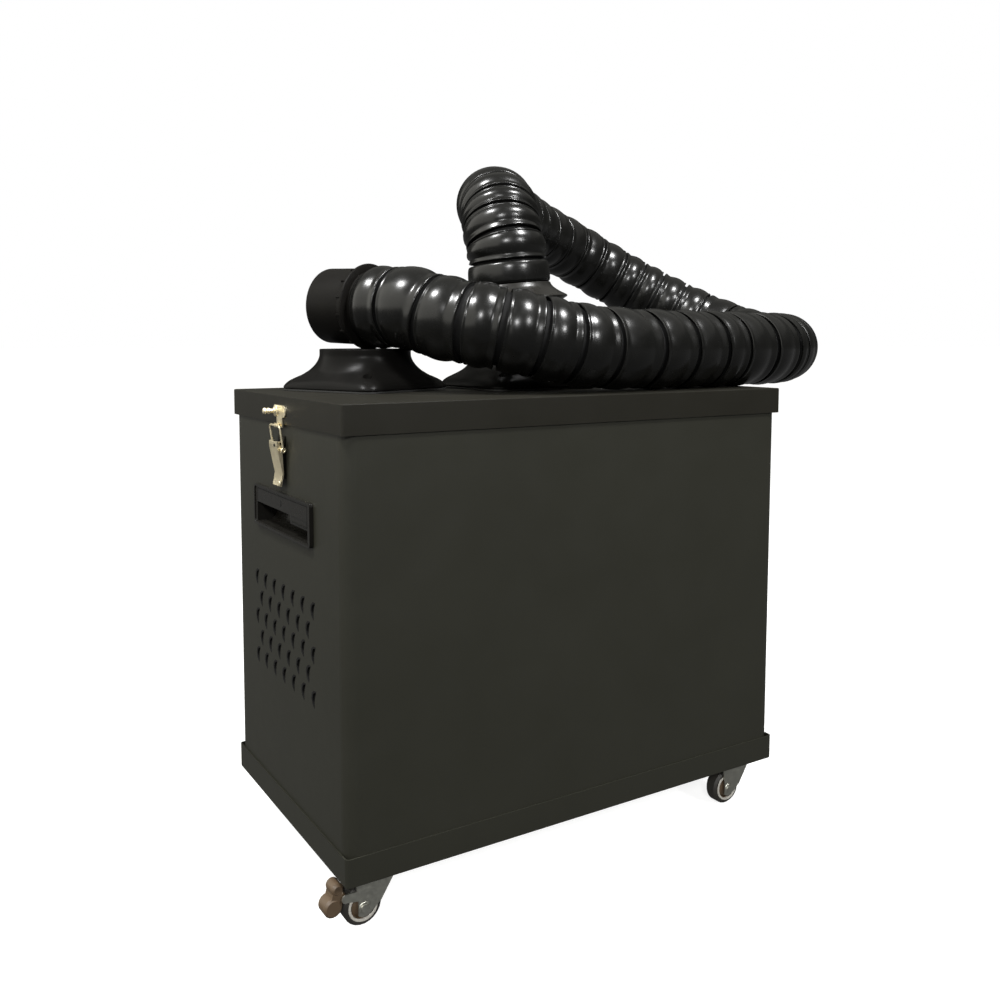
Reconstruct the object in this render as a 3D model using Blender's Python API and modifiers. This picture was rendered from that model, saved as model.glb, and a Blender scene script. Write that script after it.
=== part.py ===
"""A smoke purifier on casters: a sheet-steel cabinet with a lift-off lid, two inlet flanges,
a ribbed suction hose, filters and a blower.

Run it with blender --background --python part.py, or from Blender's text editor. Lengths are
in metres, +Z is up, the origin is on the floor under the middle of the cabinet. The long
front face looks along -Y and the end with the air slots looks along -X.
"""

import math

import bmesh
import bpy
import numpy as np
from mathutils import Matrix, Vector

# Cabinet
LENGTH = 0.550
WIDTH = 0.3065
CABINET_HEIGHT = 0.4415
RIDE_HEIGHT = 0.0535
SHEET = 0.0015
FIT = 0.0003
LID_SKIRT = 0.0283
TRAY_RIM = 0.0274
LID_CORNER = 0.0030
TRAY_CORNER = 0.0045
SHEET_BEND = 0.0012
SHELL_CORNER = 0.014
SHELL_LIP = 0.012
GASKET = 0.003
GASKET_WIDTH = 0.010
OVERRUN = 0.002
WELD = 0.00001

LID_TOP = RIDE_HEIGHT + CABINET_HEIGHT
WALL_X = LENGTH / 2 - SHEET - FIT
WALL_Y = WIDTH / 2 - SHEET - FIT
SHELL_BOTTOM = RIDE_HEIGHT + SHEET + FIT
SHELL_TOP = LID_TOP - SHEET - GASKET - 2 * FIT

# Air slots in the left end, in staggered rows of seven and six
SLOT_PITCH_Y = 0.02675
SLOT_PITCH_Z = 0.0217
SLOT_ROWS = (7, 6, 7, 6, 7)
SLOT_DROP = 0.2025
SLOT_TOP_Z = LID_TOP - SLOT_DROP
SLOT_RADIUS = 0.0084
SLOT_WIDTH = 0.0058
SLOT_HALF_ANGLE = math.radians(84)
SLOT_TILT = math.radians(14)

# Inlet flanges
FLANGE_SIDE = 0.1375
FLANGE_CORNER = 0.016
FLANGE_EDGE = 0.0030
FLANGE_GASKET = 0.0017
FLANGE_RISE = 0.0405
NECK_RADIUS = 0.0508
BORE_RADIUS = 0.0475
# How far the flare has gone from the neck to the square edge, and what share of the rise is left
FLARE_SHARES = (
    (0.0, 1.0),
    (0.0, 0.80),
    (0.06, 0.66),
    (0.16, 0.53),
    (0.32, 0.39),
    (0.58, 0.26),
    (0.85, 0.14),
    (1.0, 0.0),
)
LEFT_FLANGE = Vector((-0.153, 0.060, 0))
LEFT_FLANGE_TURN = math.radians(22)
RIGHT_FLANGE = Vector((0.019, 0.015, 0))
FLANGE_TOP = LID_TOP + 2 * FIT + FLANGE_GASKET + FLANGE_EDGE + FLANGE_RISE

# Coupling of the hose on the right flange: a body on the neck, and on it a skirt that leans
# with the hose
COUPLING_RADIUS = 0.0528
COUPLING_GRIP = 0.0070
COUPLING_BODY_TOP = 0.578
COUPLING_STEM = 0.0490
COUPLING_STEM_LOW = 0.005
COUPLING_LENGTH = 0.0637
# Radius of the skirt, and the distance down from the coupling's top along the hose
COUPLING_SKIRT = (
    (0.0462, 0.0),
    (0.0470, 0.0060),
    (0.0500, 0.0117),
    (0.0570, 0.0175),
    (0.0650, 0.0222),
    (0.0650, 0.0245),
    (COUPLING_STEM, 0.0310),
)

# Hose
HOSE_CREST = 0.0445
HOSE_LIP = 0.0435
HOSE_WAIST = 0.0422
HOSE_GROOVE = 0.0405
HOSE_SEAT = 0.0410
HOSE_SEAT_TILT = 0.0050
HOSE_CUFF = 0.0460
HOSE_GROOVE_WIDTH = 0.0015
HOSE_BORE = 0.0345
# Distance along the hose of each groove between two segments. It stretches from bend to bend.
HOSE_GROOVES = (
    0.0837, 0.1102, 0.1318, 0.1489, 0.1712, 0.1980, 0.2290, 0.2640, 0.3020, 0.3440,
    0.3877, 0.4484, 0.5012, 0.5472, 0.5915, 0.6375, 0.6747, 0.7093, 0.7503, 0.7924,
    0.8463, 0.8920, 0.9377, 0.9834, 1.0290, 1.0750, 1.1206, 1.1466, 1.2020, 1.2567,
    1.2944, 1.3438, 1.3958, 1.4563, 1.4972, 1.5329, 1.5696, 1.6032, 1.6462, 1.6910,
)
# Where a segment has its barrel, waist and lip, as shares of its length after its groove
LIP_SHARE = 0.18
WAIST_SHARE = 0.36
BARREL_SHARE = 0.66
BORE_STEP = 0.030
HOSE_SIDES = 2
HOSE_ROUTE = (
    (0.0177, 0.0158, 0.556),
    (0.0101, 0.0204, 0.6455),
    (0.0092, 0.0278, 0.672),
    (0.017, 0.048, 0.699),
    (0.028, 0.074, 0.712),
    (0.046, 0.106, 0.7185),
    (0.092, 0.160, 0.7195),
    (0.160, 0.222, 0.7145),
    (0.234, 0.275, 0.7065),
    (0.308, 0.296, 0.687),
    (0.377, 0.285, 0.653),
    (0.438, 0.250, 0.6155),
    (0.487, 0.204, 0.583),
    (0.514, 0.150, 0.559),
    (0.514, 0.092, 0.5455),
    (0.484, 0.034, 0.5415),
    (0.436, -0.014, 0.5405),
    (0.374, -0.056, 0.540),
    (0.304, -0.080, 0.540),
    (0.235, -0.091, 0.540),
    (0.170, -0.097, 0.540),
    (0.112, -0.101, 0.5405),
    (0.062, -0.104, 0.542),
    (0.015, -0.1035, 0.546),
    (-0.0266, -0.0946, 0.554),
    (-0.0621, -0.0786, 0.5625),
    (-0.0902, -0.0552, 0.5692),
    (-0.1121, -0.0235, 0.5772),
    (-0.1296, 0.0096, 0.5855),
)
HOSE_END = Vector((-0.1469, 0.0517, 0.5872))

# Collar and cuff on the hose's free end
CUFF_COLLAR_RADIUS = 0.0440
CUFF_COLLAR_LENGTH = 0.013
CUFF_RADIUS = 0.0418
CUFF_LENGTH = 0.0503
CUFF_WALL = 0.003
CUFF_ROUND = 0.0025

# Carry handles, let into both ends
HANDLE_WIDTH = 0.160
HANDLE_HEIGHT = 0.0432
HANDLE_DROP = 0.1414
HANDLE_LOW_Z = LID_TOP - HANDLE_DROP
HANDLE_TOP_Z = HANDLE_LOW_Z + HANDLE_HEIGHT
HANDLE_PROUD = 0.0042
HANDLE_EDGE = 0.004
HANDLE_RIM = 0.0022
HANDLE_DEPTH = 0.022
HANDLE_WALL = 0.002
HANDLE_SILL = 0.0033
HANDLE_BEND = 0.012
HANDLE_CUP_HALF = 0.074
GRIP_DROP = 0.1170
GRIP_Z = LID_TOP - GRIP_DROP
GRIP_THICKNESS = 0.003
LEDGE_HEIGHT = 0.009
LEDGE_WIDTH = 0.049
LEDGE_SET_BACK = 0.001

# Toggle latches, on both ends. OUT is the distance from the cabinet's end wall, DROP that below the lid's top.
LATCH_PLATE = 0.0012
LATCH_PLATE_HALF = 0.0096
LATCH_PLATE_LOW_DROP = 0.0830
LATCH_PLATE_LOW_Z = LID_TOP - LATCH_PLATE_LOW_DROP
LATCH_PLATE_TOP_DROP = 0.0405
LATCH_PLATE_TOP_Z = LID_TOP - LATCH_PLATE_TOP_DROP
EAR = 0.0013
PIVOT_OUT = 0.0062
PIVOT_DROP = 0.0475
PIVOT_Z = LID_TOP - PIVOT_DROP
PIVOT_PIN = 0.0012
EAR_ROUND = 0.0021
EAR_FOOT = 0.0085
LEVER_HALF = 0.0114
LEVER_SHEET = 0.0014
LEVER_TOP_OUT = 0.0102
LEVER_TOP_RISE = 0.0022
LEVER_SHOULDER = 0.0035
CHEEK_ROUND = 0.0026
LEVER_BEND_OUT = 0.0046
LEVER_BEND_DROP = 0.0780
LEVER_BEND_Z = LID_TOP - LEVER_BEND_DROP
LEVER_TAIL_OUT = 0.0070
LEVER_TAIL_DROP = 0.0905
LEVER_TAIL_Z = LID_TOP - LEVER_TAIL_DROP
BAIL_PIVOT_OUT = 0.0046
BAIL_PIVOT_DROP = 0.0540
BAIL_PIVOT_Z = LID_TOP - BAIL_PIVOT_DROP
BAIL_WIRE = 0.0012
BAIL_HALF = 0.0144
BAIL_BAR_OUT = 0.0081
BAIL_BAR_DROP = 0.0295
BAIL_BAR_Z = LID_TOP - BAIL_BAR_DROP
BAIL_CORNER = 0.003
KEEPER_HALF = 0.017
KEEPER_DROP = 0.0155
KEEPER_Z = LID_TOP - KEEPER_DROP
KEEPER_ROUND = 0.0060
KEEPER_SHEET = 0.0012
TONGUE_HALF = 0.0075
HOOK_BOTTOM_DROP = 0.0317
HOOK_BOTTOM_Z = LID_TOP - HOOK_BOTTOM_DROP
HOOK_LIP_DROP = 0.0277
HOOK_LIP_Z = LID_TOP - HOOK_LIP_DROP
HOOK_OUT = 0.0063
KEEPER_STUD = 0.0021
KEEPER_STUD_Y = 0.0090
KEEPER_STUD_OUT = 0.0148

# Casters
CASTER_INSET_X = 0.038
CASTER_INSET_Y = 0.03025
CASTER_X = LENGTH / 2 - CASTER_INSET_X
CASTER_Y = WIDTH / 2 - CASTER_INSET_Y
TRAIL = 0.0115
WHEEL_RADIUS = 0.0195
WHEEL_WIDTH = 0.016
HUB_RADIUS = 0.0142
HUB_WIDTH = 0.0140
HUB_RIM = 0.0022
HUB_BOSS = 0.0055
HUB_DISH = 0.0025
TYRE_SHOULDER = 0.0026
AXLE_RADIUS = 0.0030
AXLE_HEAD = 0.0048
AXLE_HEAD_LENGTH = 0.0018
FORK_SHEET = 0.0015
FORK_GAP = 0.0015
CASTER_PLATE = 0.0020
CASTER_PLATE_LENGTH = 0.046
CASTER_PLATE_WIDTH = 0.036
CASTER_PLATE_CORNER = 0.004
RACE_RADIUS = 0.015
RACE_HEIGHT = 0.0045
STUD_RADIUS = 0.0040
STUD_HEAD = 0.0065
STUD_HEAD_HEIGHT = 0.0030
CROWN_TOP = RIDE_HEIGHT - CASTER_PLATE - RACE_HEIGHT - 2 * FIT
# Places on a fork's cheek and pedal: X from the swivel's axis, and Z
FORK_REAR = 0.0200
FORK_FRONT = 0.0215
FORK_KNEE = (0.0060, 0.0220)
FORK_FOOT = 0.0092
FORK_FOOT_REAR = 0.0060
NUB = (-0.0300, 0.0328)
NUB_RADIUS = 0.0042
PEDAL_PIN = 0.0015
PEDAL_KNUCKLE = 0.0026
PEDAL_HALF = 0.0088
PEDAL_LOW_LOBE = (-0.0415, 0.0255)
PEDAL_LOW_RADIUS = 0.0094
PEDAL_TOP_LOBE = (-0.0370, 0.0420)
PEDAL_TOP_RADIUS = 0.0062
PEDAL_ROUND = 0.0022

# Filters, stacked on a shelf
SHELF_DROP = 0.1920
SHELF_Z = LID_TOP - SHELF_DROP
FILTER_END_GAP = 0.0062
FILTER_SIDE_GAP = 0.00495
CARBON_HEIGHT = 0.040
HEPA_HEIGHT = 0.069
PREFILTER_HEIGHT = 0.022
FILTER_FRAME = 0.012
FILTER_RECESS = 0.004

# Blower, hung under the shelf
SCROLL_SMALL = 0.080
SCROLL_LARGE = 0.118
SCROLL_HEIGHT = 0.090
SCROLL_WALL = 0.002
SCROLL_STEPS = 16
TONGUE_ANGLE = math.radians(150)
OUTLET_ANGLE = math.radians(450)
OUTLET_INSET = 0.0582
OUTLET_X = -WALL_X + OUTLET_INSET
INLET_RADIUS = 0.058
SHAFT_RADIUS = 0.005
SHAFT_HOLE = 0.008
FAN_RADIUS = 0.066
FAN_HUB = 0.016
FAN_HUB_HEIGHT = 0.050
FAN_CLEARANCE = 0.003
FAN_HEIGHT = 0.062
FAN_BLADES = 10
FAN_BLADE = 0.003
FAN_PLATE = 0.003
MOTOR_RADIUS = 0.044
MOTOR_HEIGHT = 0.070
MOTOR_FLANGE_RADIUS = 0.054
MOTOR_FLANGE = 0.004
SHAFT_DEPTH = 0.045
BRACKET_SHEET = 0.003
BRACKET_FOOT = 0.012

# Electrics, on the right end and on the tray
SUPPLY_SIZE = Vector((0.120, 0.070, 0.042))
SUPPLY_INSET = Vector((0.1232, 0.06645, 0))
SUPPLY_PLACE = Vector((WALL_X - SUPPLY_INSET.x, SUPPLY_INSET.y - WALL_Y, 0))
PANEL_DROP = 0.2250
PANEL_Z = LID_TOP - PANEL_DROP
SWITCH_Y = -0.040
SWITCH_WIDTH = 0.0135
SWITCH_HEIGHT = 0.0195
SWITCH_BEZEL = 0.0025
SWITCH_BEZEL_PROUD = 0.002
SWITCH_DEPTH = 0.014
SWITCH_WALL = 0.0010
ROCKER_PROUD = 0.0030
ROCKER_DEPTH = 0.0050
ROCKER_PEAK = 0.0012
ROCKER_PIN = 0.0010
ROCKER_TILT = math.radians(8)
KNOB_Y = 0.030
KNOB_RADIUS = 0.011
KNOB_HEIGHT = 0.015
KNOB_SKIRT = 0.003
KNOB_SHAFT = 0.003
KNOB_HOLE = 0.0038
KNOB_RISE = 0.0008
BOARD_SET_BACK = 0.018
BOARD_SHEET = 0.0016
BOARD_WIDTH = 0.070
BOARD_HEIGHT = 0.050
POST_RADIUS = 0.0030
POST_INSET = 0.006
POT_RADIUS = 0.008
POT_HEIGHT = 0.007
SOCKET_Y = 0.080
SOCKET_Z = 0.110
SOCKET_WIDTH = 0.027
SOCKET_HEIGHT = 0.020
SOCKET_BEZEL = 0.003
SOCKET_PROUD = 0.0025
SOCKET_DEPTH = 0.024
SOCKET_WALL = 0.002
SOCKET_PIN_WIDTH = 0.002
SOCKET_PIN_HEIGHT = 0.006

# Facets round a full turn
FINE = 32
ROUND = 24
COARSE = 16
SMALL = 10


def clear_scene():
    """Remove what the scene holds, so that the model starts from nothing."""
    for old in list(bpy.data.objects):
        bpy.data.objects.remove(old, do_unlink=True)


def linear(value):
    """One sRGB channel, from 0 to 1, as linear light."""
    return value / 12.92 if value <= 0.04045 else ((value + 0.055) / 1.055) ** 2.4


def finish(name, colour, roughness, metallic=0.0):
    """A Principled material from an sRGB colour such as "2a2a25"."""
    material = bpy.data.materials.new(name)
    material.use_nodes = True
    shader = material.node_tree.nodes["Principled BSDF"]
    channels = [linear(int(colour[i : i + 2], 16) / 255) for i in (0, 2, 4)]
    shader.inputs["Base Color"].default_value = (*channels, 1)
    shader.inputs["Roughness"].default_value = roughness
    shader.inputs["Metallic"].default_value = metallic
    material.diffuse_color = (*channels, 1)
    return material


def collection(name):
    """A new collection in the scene."""
    made = bpy.data.collections.new(name)
    bpy.context.scene.collection.children.link(made)
    return made


clear_scene()
PARTS = collection("smoke_purifier")
CUTTERS = collection("cutters")

POWDER_COAT = finish("black powder-coated steel", "2b2a26", 0.42)
ABS_BLACK = finish("black moulded plastic", "1c1c1a", 0.35)
HOSE_PLASTIC = finish("glossy black hose plastic", "0f0f0e", 0.16)
RUBBER = finish("black rubber", "121211", 0.8)
ZINC = finish("yellow-passivated zinc", "c9c1a0", 0.38, 1.0)
BRIGHT_ZINC = finish("bright zinc plating", "8d8d84", 0.35, 1.0)
BROWN_PLASTIC = finish("brown moulded plastic", "5a4d40", 0.5)
GALVANISED = finish("galvanised steel", "9a9c9c", 0.4, 1.0)
FILTER_PAPER = finish("white filter paper", "d9d8d0", 0.9)
FOAM = finish("grey open foam", "4a4b4c", 0.95)
BOARD_GREEN = finish("green circuit board", "1e4a2c", 0.5)
MOTOR_GREY = finish("cast aluminium", "8a8c8e", 0.5, 1.0)


def pivot(name, place, parent=None):
    """An empty that stands on a joint's axis."""
    empty = bpy.data.objects.new(name, None)
    empty.location = place
    empty.parent = parent
    PARTS.objects.link(empty)
    return empty


def keep(obj, name, material, parent=None, place=None, turn=None):
    """Name a finished piece, colour it and put it in the model's collection."""
    for old in list(obj.users_collection):
        old.objects.unlink(obj)
    PARTS.objects.link(obj)
    obj.name = name
    obj.data.name = name
    obj.data.materials.clear()
    obj.data.materials.append(material)
    if place is not None:
        obj.location = place
    if turn is not None:
        obj.rotation_euler = turn
    obj.parent = parent
    return obj


def copy_of(obj, name, place, turn=None, parent=None):
    """A second piece that shares a first one's mesh and modifiers."""
    twin = obj.copy()
    PARTS.objects.link(twin)
    twin.name = name
    twin.location = place
    if turn is not None:
        twin.rotation_euler = turn
    twin.parent = parent
    return twin


def loose(name, mesh):
    """A new object of a mesh, in the cutters' collection until it is kept."""
    obj = bpy.data.objects.new(name, mesh)
    CUTTERS.objects.link(obj)
    return obj


def from_bmesh(name, bm):
    """An object of a finished bmesh."""
    bmesh.ops.recalc_face_normals(bm, faces=bm.faces)
    mesh = bpy.data.meshes.new(name)
    bm.to_mesh(mesh)
    bm.free()
    return loose(name, mesh)


def block(name, low, high, corner=0.0, rounding=0.0, segments=4):
    """A box between two corners, its upright edges rounded by corner and all others by rounding."""
    low, high = Vector(low), Vector(high)
    bm = bmesh.new()
    bmesh.ops.create_cube(bm, size=1)
    bmesh.ops.scale(bm, vec=high - low, verts=bm.verts)
    bmesh.ops.translate(bm, vec=(high + low) / 2, verts=bm.verts)
    if corner:
        upright = [e for e in bm.edges if abs(e.verts[0].co.z - e.verts[1].co.z) > FIT]
        bmesh.ops.bevel(bm, geom=upright, offset=corner, segments=segments, affect="EDGES", profile=0.5)
    if rounding:
        level = [e for e in bm.edges if abs(e.verts[0].co.z - e.verts[1].co.z) < FIT]
        bmesh.ops.bevel(bm, geom=level, offset=rounding, segments=2, affect="EDGES", profile=0.5)
    return from_bmesh(name, bm)


def turned(name, profile, steps=COARSE, ring=False):
    """A turned piece from a profile of (radius, z) that runs down its outer side, as a mesh."""
    mesh = bpy.data.meshes.new(name)
    points = [(radius, 0, z) for radius, z in profile]
    edges = [(i, i + 1) for i in range(len(points) - 1)]
    if ring:
        edges.append((len(points) - 1, 0))
    mesh.from_pydata(points, edges, [])
    obj = loose(name, mesh)
    screw = obj.modifiers.new("turn", "SCREW")
    screw.steps = steps
    screw.render_steps = steps
    screw.use_merge_vertices = True
    screw.merge_threshold = WELD
    return applied(obj)


def applied(obj):
    """The same object with its modifiers, or its curve, made into a plain welded mesh."""
    bpy.context.view_layer.update()
    evaluated = obj.evaluated_get(bpy.context.evaluated_depsgraph_get())
    mesh = bpy.data.meshes.new_from_object(evaluated)
    bm = bmesh.new()
    bm.from_mesh(mesh)
    bmesh.ops.remove_doubles(bm, verts=bm.verts, dist=WELD)
    bmesh.ops.recalc_face_normals(bm, faces=bm.faces)
    bm.to_mesh(mesh)
    bm.free()
    solid = loose(obj.name, mesh)
    solid.matrix_world = obj.matrix_world
    bpy.data.objects.remove(obj, do_unlink=True)
    return solid


def flat(name, outline, thickness):
    """A flat outline in X and Y, thickness deep, centred on Z, as a mesh."""
    curve = bpy.data.curves.new(name, "CURVE")
    curve.dimensions = "2D"
    curve.fill_mode = "BOTH"
    curve.extrude = thickness / 2
    outline = [point for i, point in enumerate(outline) if math.dist(point, outline[i - 1]) > WELD]
    spline = curve.splines.new("POLY")
    spline.points.add(len(outline) - 1)
    for point, (x, y) in zip(spline.points, outline):
        point.co = (x, y, 0, 1)
    spline.use_cyclic_u = True
    return applied(loose(name, curve))


def wire(name, route, radius, bevel=2, radii=None):
    """A closed tube along a list of points."""
    curve = bpy.data.curves.new(name, "CURVE")
    curve.dimensions = "3D"
    curve.bevel_depth = radius
    curve.bevel_resolution = bevel
    curve.use_fill_caps = True
    spline = curve.splines.new("POLY")
    spline.points.add(len(route) - 1)
    for i, place in enumerate(route):
        spline.points[i].co = (*place, 1)
        if radii is not None:
            spline.points[i].radius = radii[i] / radius
    return applied(loose(name, curve))


def placed(obj, place=(0, 0, 0), turn=(0, 0, 0)):
    """Turn and move a piece's mesh, so that its origin stays where it is."""
    matrix = Matrix.Translation(place)
    for angle, axis in zip(turn, "XYZ"):
        matrix = matrix @ Matrix.Rotation(angle, 4, axis)
    obj.data.transform(matrix)
    return obj


def helper(obj):
    """Hide a cutter, or a shape that is joined to another."""
    obj.hide_render = True
    obj.display_type = "WIRE"
    return obj


def combined(obj, others, operation):
    """Cut other shapes from a piece, or join them to it, and leave a plain mesh."""
    for other in others:
        step = obj.modifiers.new(operation.lower(), "BOOLEAN")
        step.object = helper(other)
        step.operation = operation
        step.solver = "EXACT"
    solid = applied(obj)
    for other in others:
        bpy.data.objects.remove(other, do_unlink=True)
    return solid


def cut(obj, *others):
    """The piece without what the other shapes cover."""
    return combined(obj, others, "DIFFERENCE")


def joined(obj, *others):
    """The piece and the other shapes as one body."""
    return combined(obj, others, "UNION")


def gathered(name, objects):
    """Several closed shapes that don't touch, as one cutter."""
    bm = bmesh.new()
    for obj in objects:
        bm.from_mesh(obj.data)
        bpy.data.objects.remove(obj, do_unlink=True)
    mesh = bpy.data.meshes.new(name)
    bm.to_mesh(mesh)
    bm.free()
    return loose(name, mesh)


def rod(name, radius, low, high, axis="Z", place=(0, 0), steps=SMALL):
    """A plain rod along an axis from low to high. Its place is in the other two directions."""
    obj = turned(name, ((0, high), (radius, high), (radius, low), (0, low)), steps)
    if axis == "Z":
        return placed(obj, (place[0], place[1], 0))
    if axis == "X":
        return placed(obj, (0, place[0], place[1]), (0, math.pi / 2, 0))
    return placed(obj, (place[0], 0, place[1]), (-math.pi / 2, 0, 0))


def smooth(obj, angle=math.radians(35)):
    """Shade a round piece smooth, with its real edges sharp."""
    obj.data.shade_smooth()
    obj.data.set_sharp_from_angle(angle=angle)
    return obj


def arc(centre, radius, start, end, steps):
    """Points along an arc, both ends included."""
    angles = np.linspace(start, end, steps + 1)
    return [(centre[0] + radius * math.cos(a), centre[1] + radius * math.sin(a)) for a in angles]


def is_bend(edge):
    """Whether an edge lies between a level face and an upright one."""
    tilts = [abs(face.normal.z) for face in edge.link_faces]
    return len(tilts) == 2 and max(tilts) - min(tilts) > 0.9


def sheet_box(name, length, width, low, high, corner, lip=0.0, top=False, bottom=False):
    """A folded box of sheet metal with round corners.

    Its top and bottom are open unless asked for, and an open top can have a lip turned inwards.
    """
    bm = bmesh.new()
    bmesh.ops.create_cube(bm, size=1)
    bmesh.ops.scale(bm, vec=(length, width, high - low), verts=bm.verts)
    bmesh.ops.translate(bm, vec=(0, 0, (low + high) / 2), verts=bm.verts)
    upright = [e for e in bm.edges if abs(e.verts[0].co.z - e.verts[1].co.z) > FIT]
    bmesh.ops.bevel(bm, geom=upright, offset=corner, segments=4, affect="EDGES", profile=0.5)
    lid = max(bm.faces, key=lambda face: face.calc_center_median().z)
    floor = min(bm.faces, key=lambda face: face.calc_center_median().z)
    if lip:
        bmesh.ops.inset_region(bm, faces=[lid], thickness=lip, use_even_offset=True)
    unwanted = [lid] * (not top) + [floor] * (not bottom)
    bmesh.ops.delete(bm, geom=unwanted, context="FACES")
    bm.normal_update()
    bends = [e for e in bm.edges if is_bend(e)]
    if bends:
        bmesh.ops.bevel(bm, geom=bends, offset=SHEET_BEND, segments=2, affect="EDGES", profile=0.5)
    mesh = bpy.data.meshes.new(name)
    bm.to_mesh(mesh)
    bm.free()
    obj = loose(name, mesh)
    thick = obj.modifiers.new("sheet", "SOLIDIFY")
    thick.thickness = SHEET
    thick.offset = -1
    thick.use_even_offset = True
    return applied(obj)


def upright_plate(name, outline, low, high):
    """A plate with an outline in X and Z, from low to high along Y."""
    return placed(flat(name, outline, high - low), (0, (low + high) / 2, 0), (math.pi / 2, 0, 0))


def end_plate(name, outline, low, high):
    """A plate with an outline in Y and Z, from low to high along X."""
    turn = (0, math.pi / 2, math.pi / 2)
    return placed(flat(name, outline, high - low), ((low + high) / 2, 0, 0), turn)


def rounded(centre, half_width, half_height, radius, steps=3):
    """The outline of a rectangle with round corners."""
    quarter = math.pi / 2
    points = []
    for i, (side, level) in enumerate(((1, 1), (-1, 1), (-1, -1), (1, -1))):
        middle = (centre[0] + side * (half_width - radius), centre[1] + level * (half_height - radius))
        points += arc(middle, radius, i * quarter, (i + 1) * quarter, steps)
    return points


def hung(obj, place):
    """Put a piece's origin on its joint's axis, and leave the piece where it is."""
    obj.data.transform(Matrix.Translation(-Vector(place)))
    obj.location = place
    return obj


def to_right_end(place):
    """The place on the right end that answers to one on the left end."""
    return (-place[0], -place[1], place[2])


def slot_outline(y, z):
    """A crescent air slot: an outer arc, and a flatter inner one between the same two tips."""
    half = SLOT_HALF_ANGLE
    chord = SLOT_RADIUS * math.sin(half)
    sagitta = SLOT_RADIUS * (1 - math.cos(half)) - SLOT_WIDTH
    flatter = (chord**2 + sagitta**2) / (2 * sagitta)
    spread = math.asin(chord / flatter)
    middle = SLOT_RADIUS - SLOT_WIDTH - flatter
    outer = arc((0, 0), SLOT_RADIUS, -half, half, 5)
    inner = arc((middle, 0), flatter, spread, -spread, 3)[1:-1]
    cos, sin = math.cos(SLOT_TILT), math.sin(SLOT_TILT)
    return [(y + a * cos - b * sin, z + a * sin + b * cos) for a, b in outer + inner]


def air_slots():
    """All the air slots of the left end, as one cutter."""
    slots = []
    for row, count in enumerate(SLOT_ROWS):
        z = SLOT_TOP_Z - row * SLOT_PITCH_Z
        for i in range(count):
            y = (i - (count - 1) / 2) * SLOT_PITCH_Y
            slots.append(end_plate("slot", slot_outline(y, z), -WALL_X - OVERRUN, -WALL_X + SHEET + OVERRUN))
    return gathered("air_slots", slots)


def handle_cup_outline(wall):
    """The pocket behind a handle, seen from the front: X and Z, with a round inner lower corner.

    The outline of its outside has the wall added, and that of its inside has none.
    """
    back = -WALL_X + HANDLE_DEPTH - HANDLE_WALL + wall
    low, high = HANDLE_LOW_Z + HANDLE_SILL - wall, GRIP_Z + wall
    bend = HANDLE_BEND + wall
    corner = arc((back - bend, low + bend), bend, -math.pi / 2, 0, 5)
    return [(-WALL_X, high), (-WALL_X, low), *corner, (back, high)]


def clear_of(centre, width, height):
    """The outline of a hole in the wall that a case of a width and height goes through."""
    return rounded(centre, width / 2 + FIT, height / 2 + FIT, SHEET)


def make_cabinet():
    """The tray, the shell, the lid and the gasket between shell and lid."""
    tray = sheet_box("tray", LENGTH, WIDTH, RIDE_HEIGHT, RIDE_HEIGHT + TRAY_RIM, TRAY_CORNER, bottom=True)
    keep(tray, "base_tray", POWDER_COAT)

    shell = sheet_box("shell", 2 * WALL_X, 2 * WALL_Y, SHELL_BOTTOM, SHELL_TOP, SHELL_CORNER, lip=SHELL_LIP)
    clear = HANDLE_CUP_HALF + FIT
    low, high = HANDLE_LOW_Z + HANDLE_SILL - HANDLE_WALL - FIT, GRIP_Z + HANDLE_WALL + FIT
    windows = [
        block("window", (side - OVERRUN, -clear, low), (side + OVERRUN, clear, high))
        for side in (-WALL_X, WALL_X)
    ]
    wall = (WALL_X - SHEET - OVERRUN, WALL_X + OVERRUN)
    holes = [
        end_plate("hole", clear_of((SWITCH_Y, PANEL_Z), SWITCH_WIDTH, SWITCH_HEIGHT), *wall),
        rod("hole", KNOB_HOLE, *wall, "X", (KNOB_Y, PANEL_Z)),
        end_plate("hole", clear_of((SOCKET_Y, SOCKET_Z), SOCKET_WIDTH, SOCKET_HEIGHT), *wall),
    ]
    keep(smooth(cut(shell, air_slots(), gathered("openings", windows + holes))), "cabinet_shell", POWDER_COAT)

    lid = sheet_box("lid", LENGTH, WIDTH, LID_TOP - LID_SKIRT, LID_TOP, LID_CORNER, top=True)
    through = (LID_TOP - SHEET - OVERRUN, LID_TOP + OVERRUN)
    places = [place[:2] for place in (LEFT_FLANGE, RIGHT_FLANGE)]
    ports = [rod("port", BORE_RADIUS, *through, "Z", place, FINE) for place in places]
    keep(cut(lid, *ports), "lid", POWDER_COAT, LID)

    outer = Vector((WALL_X, WALL_Y, 0))
    inner = outer - Vector((GASKET_WIDTH, GASKET_WIDTH, 0))
    low, high = Vector((0, 0, SHELL_TOP + FIT)), Vector((0, 0, SHELL_TOP + FIT + GASKET))
    over = Vector((0, 0, OVERRUN))
    seal = block("seal", low - outer, high + outer, SHELL_CORNER)
    inside = block("inside", low - inner - over, high + inner + over, SHELL_CORNER - GASKET_WIDTH)
    keep(cut(seal, inside), "lid_gasket", RUBBER)


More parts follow.
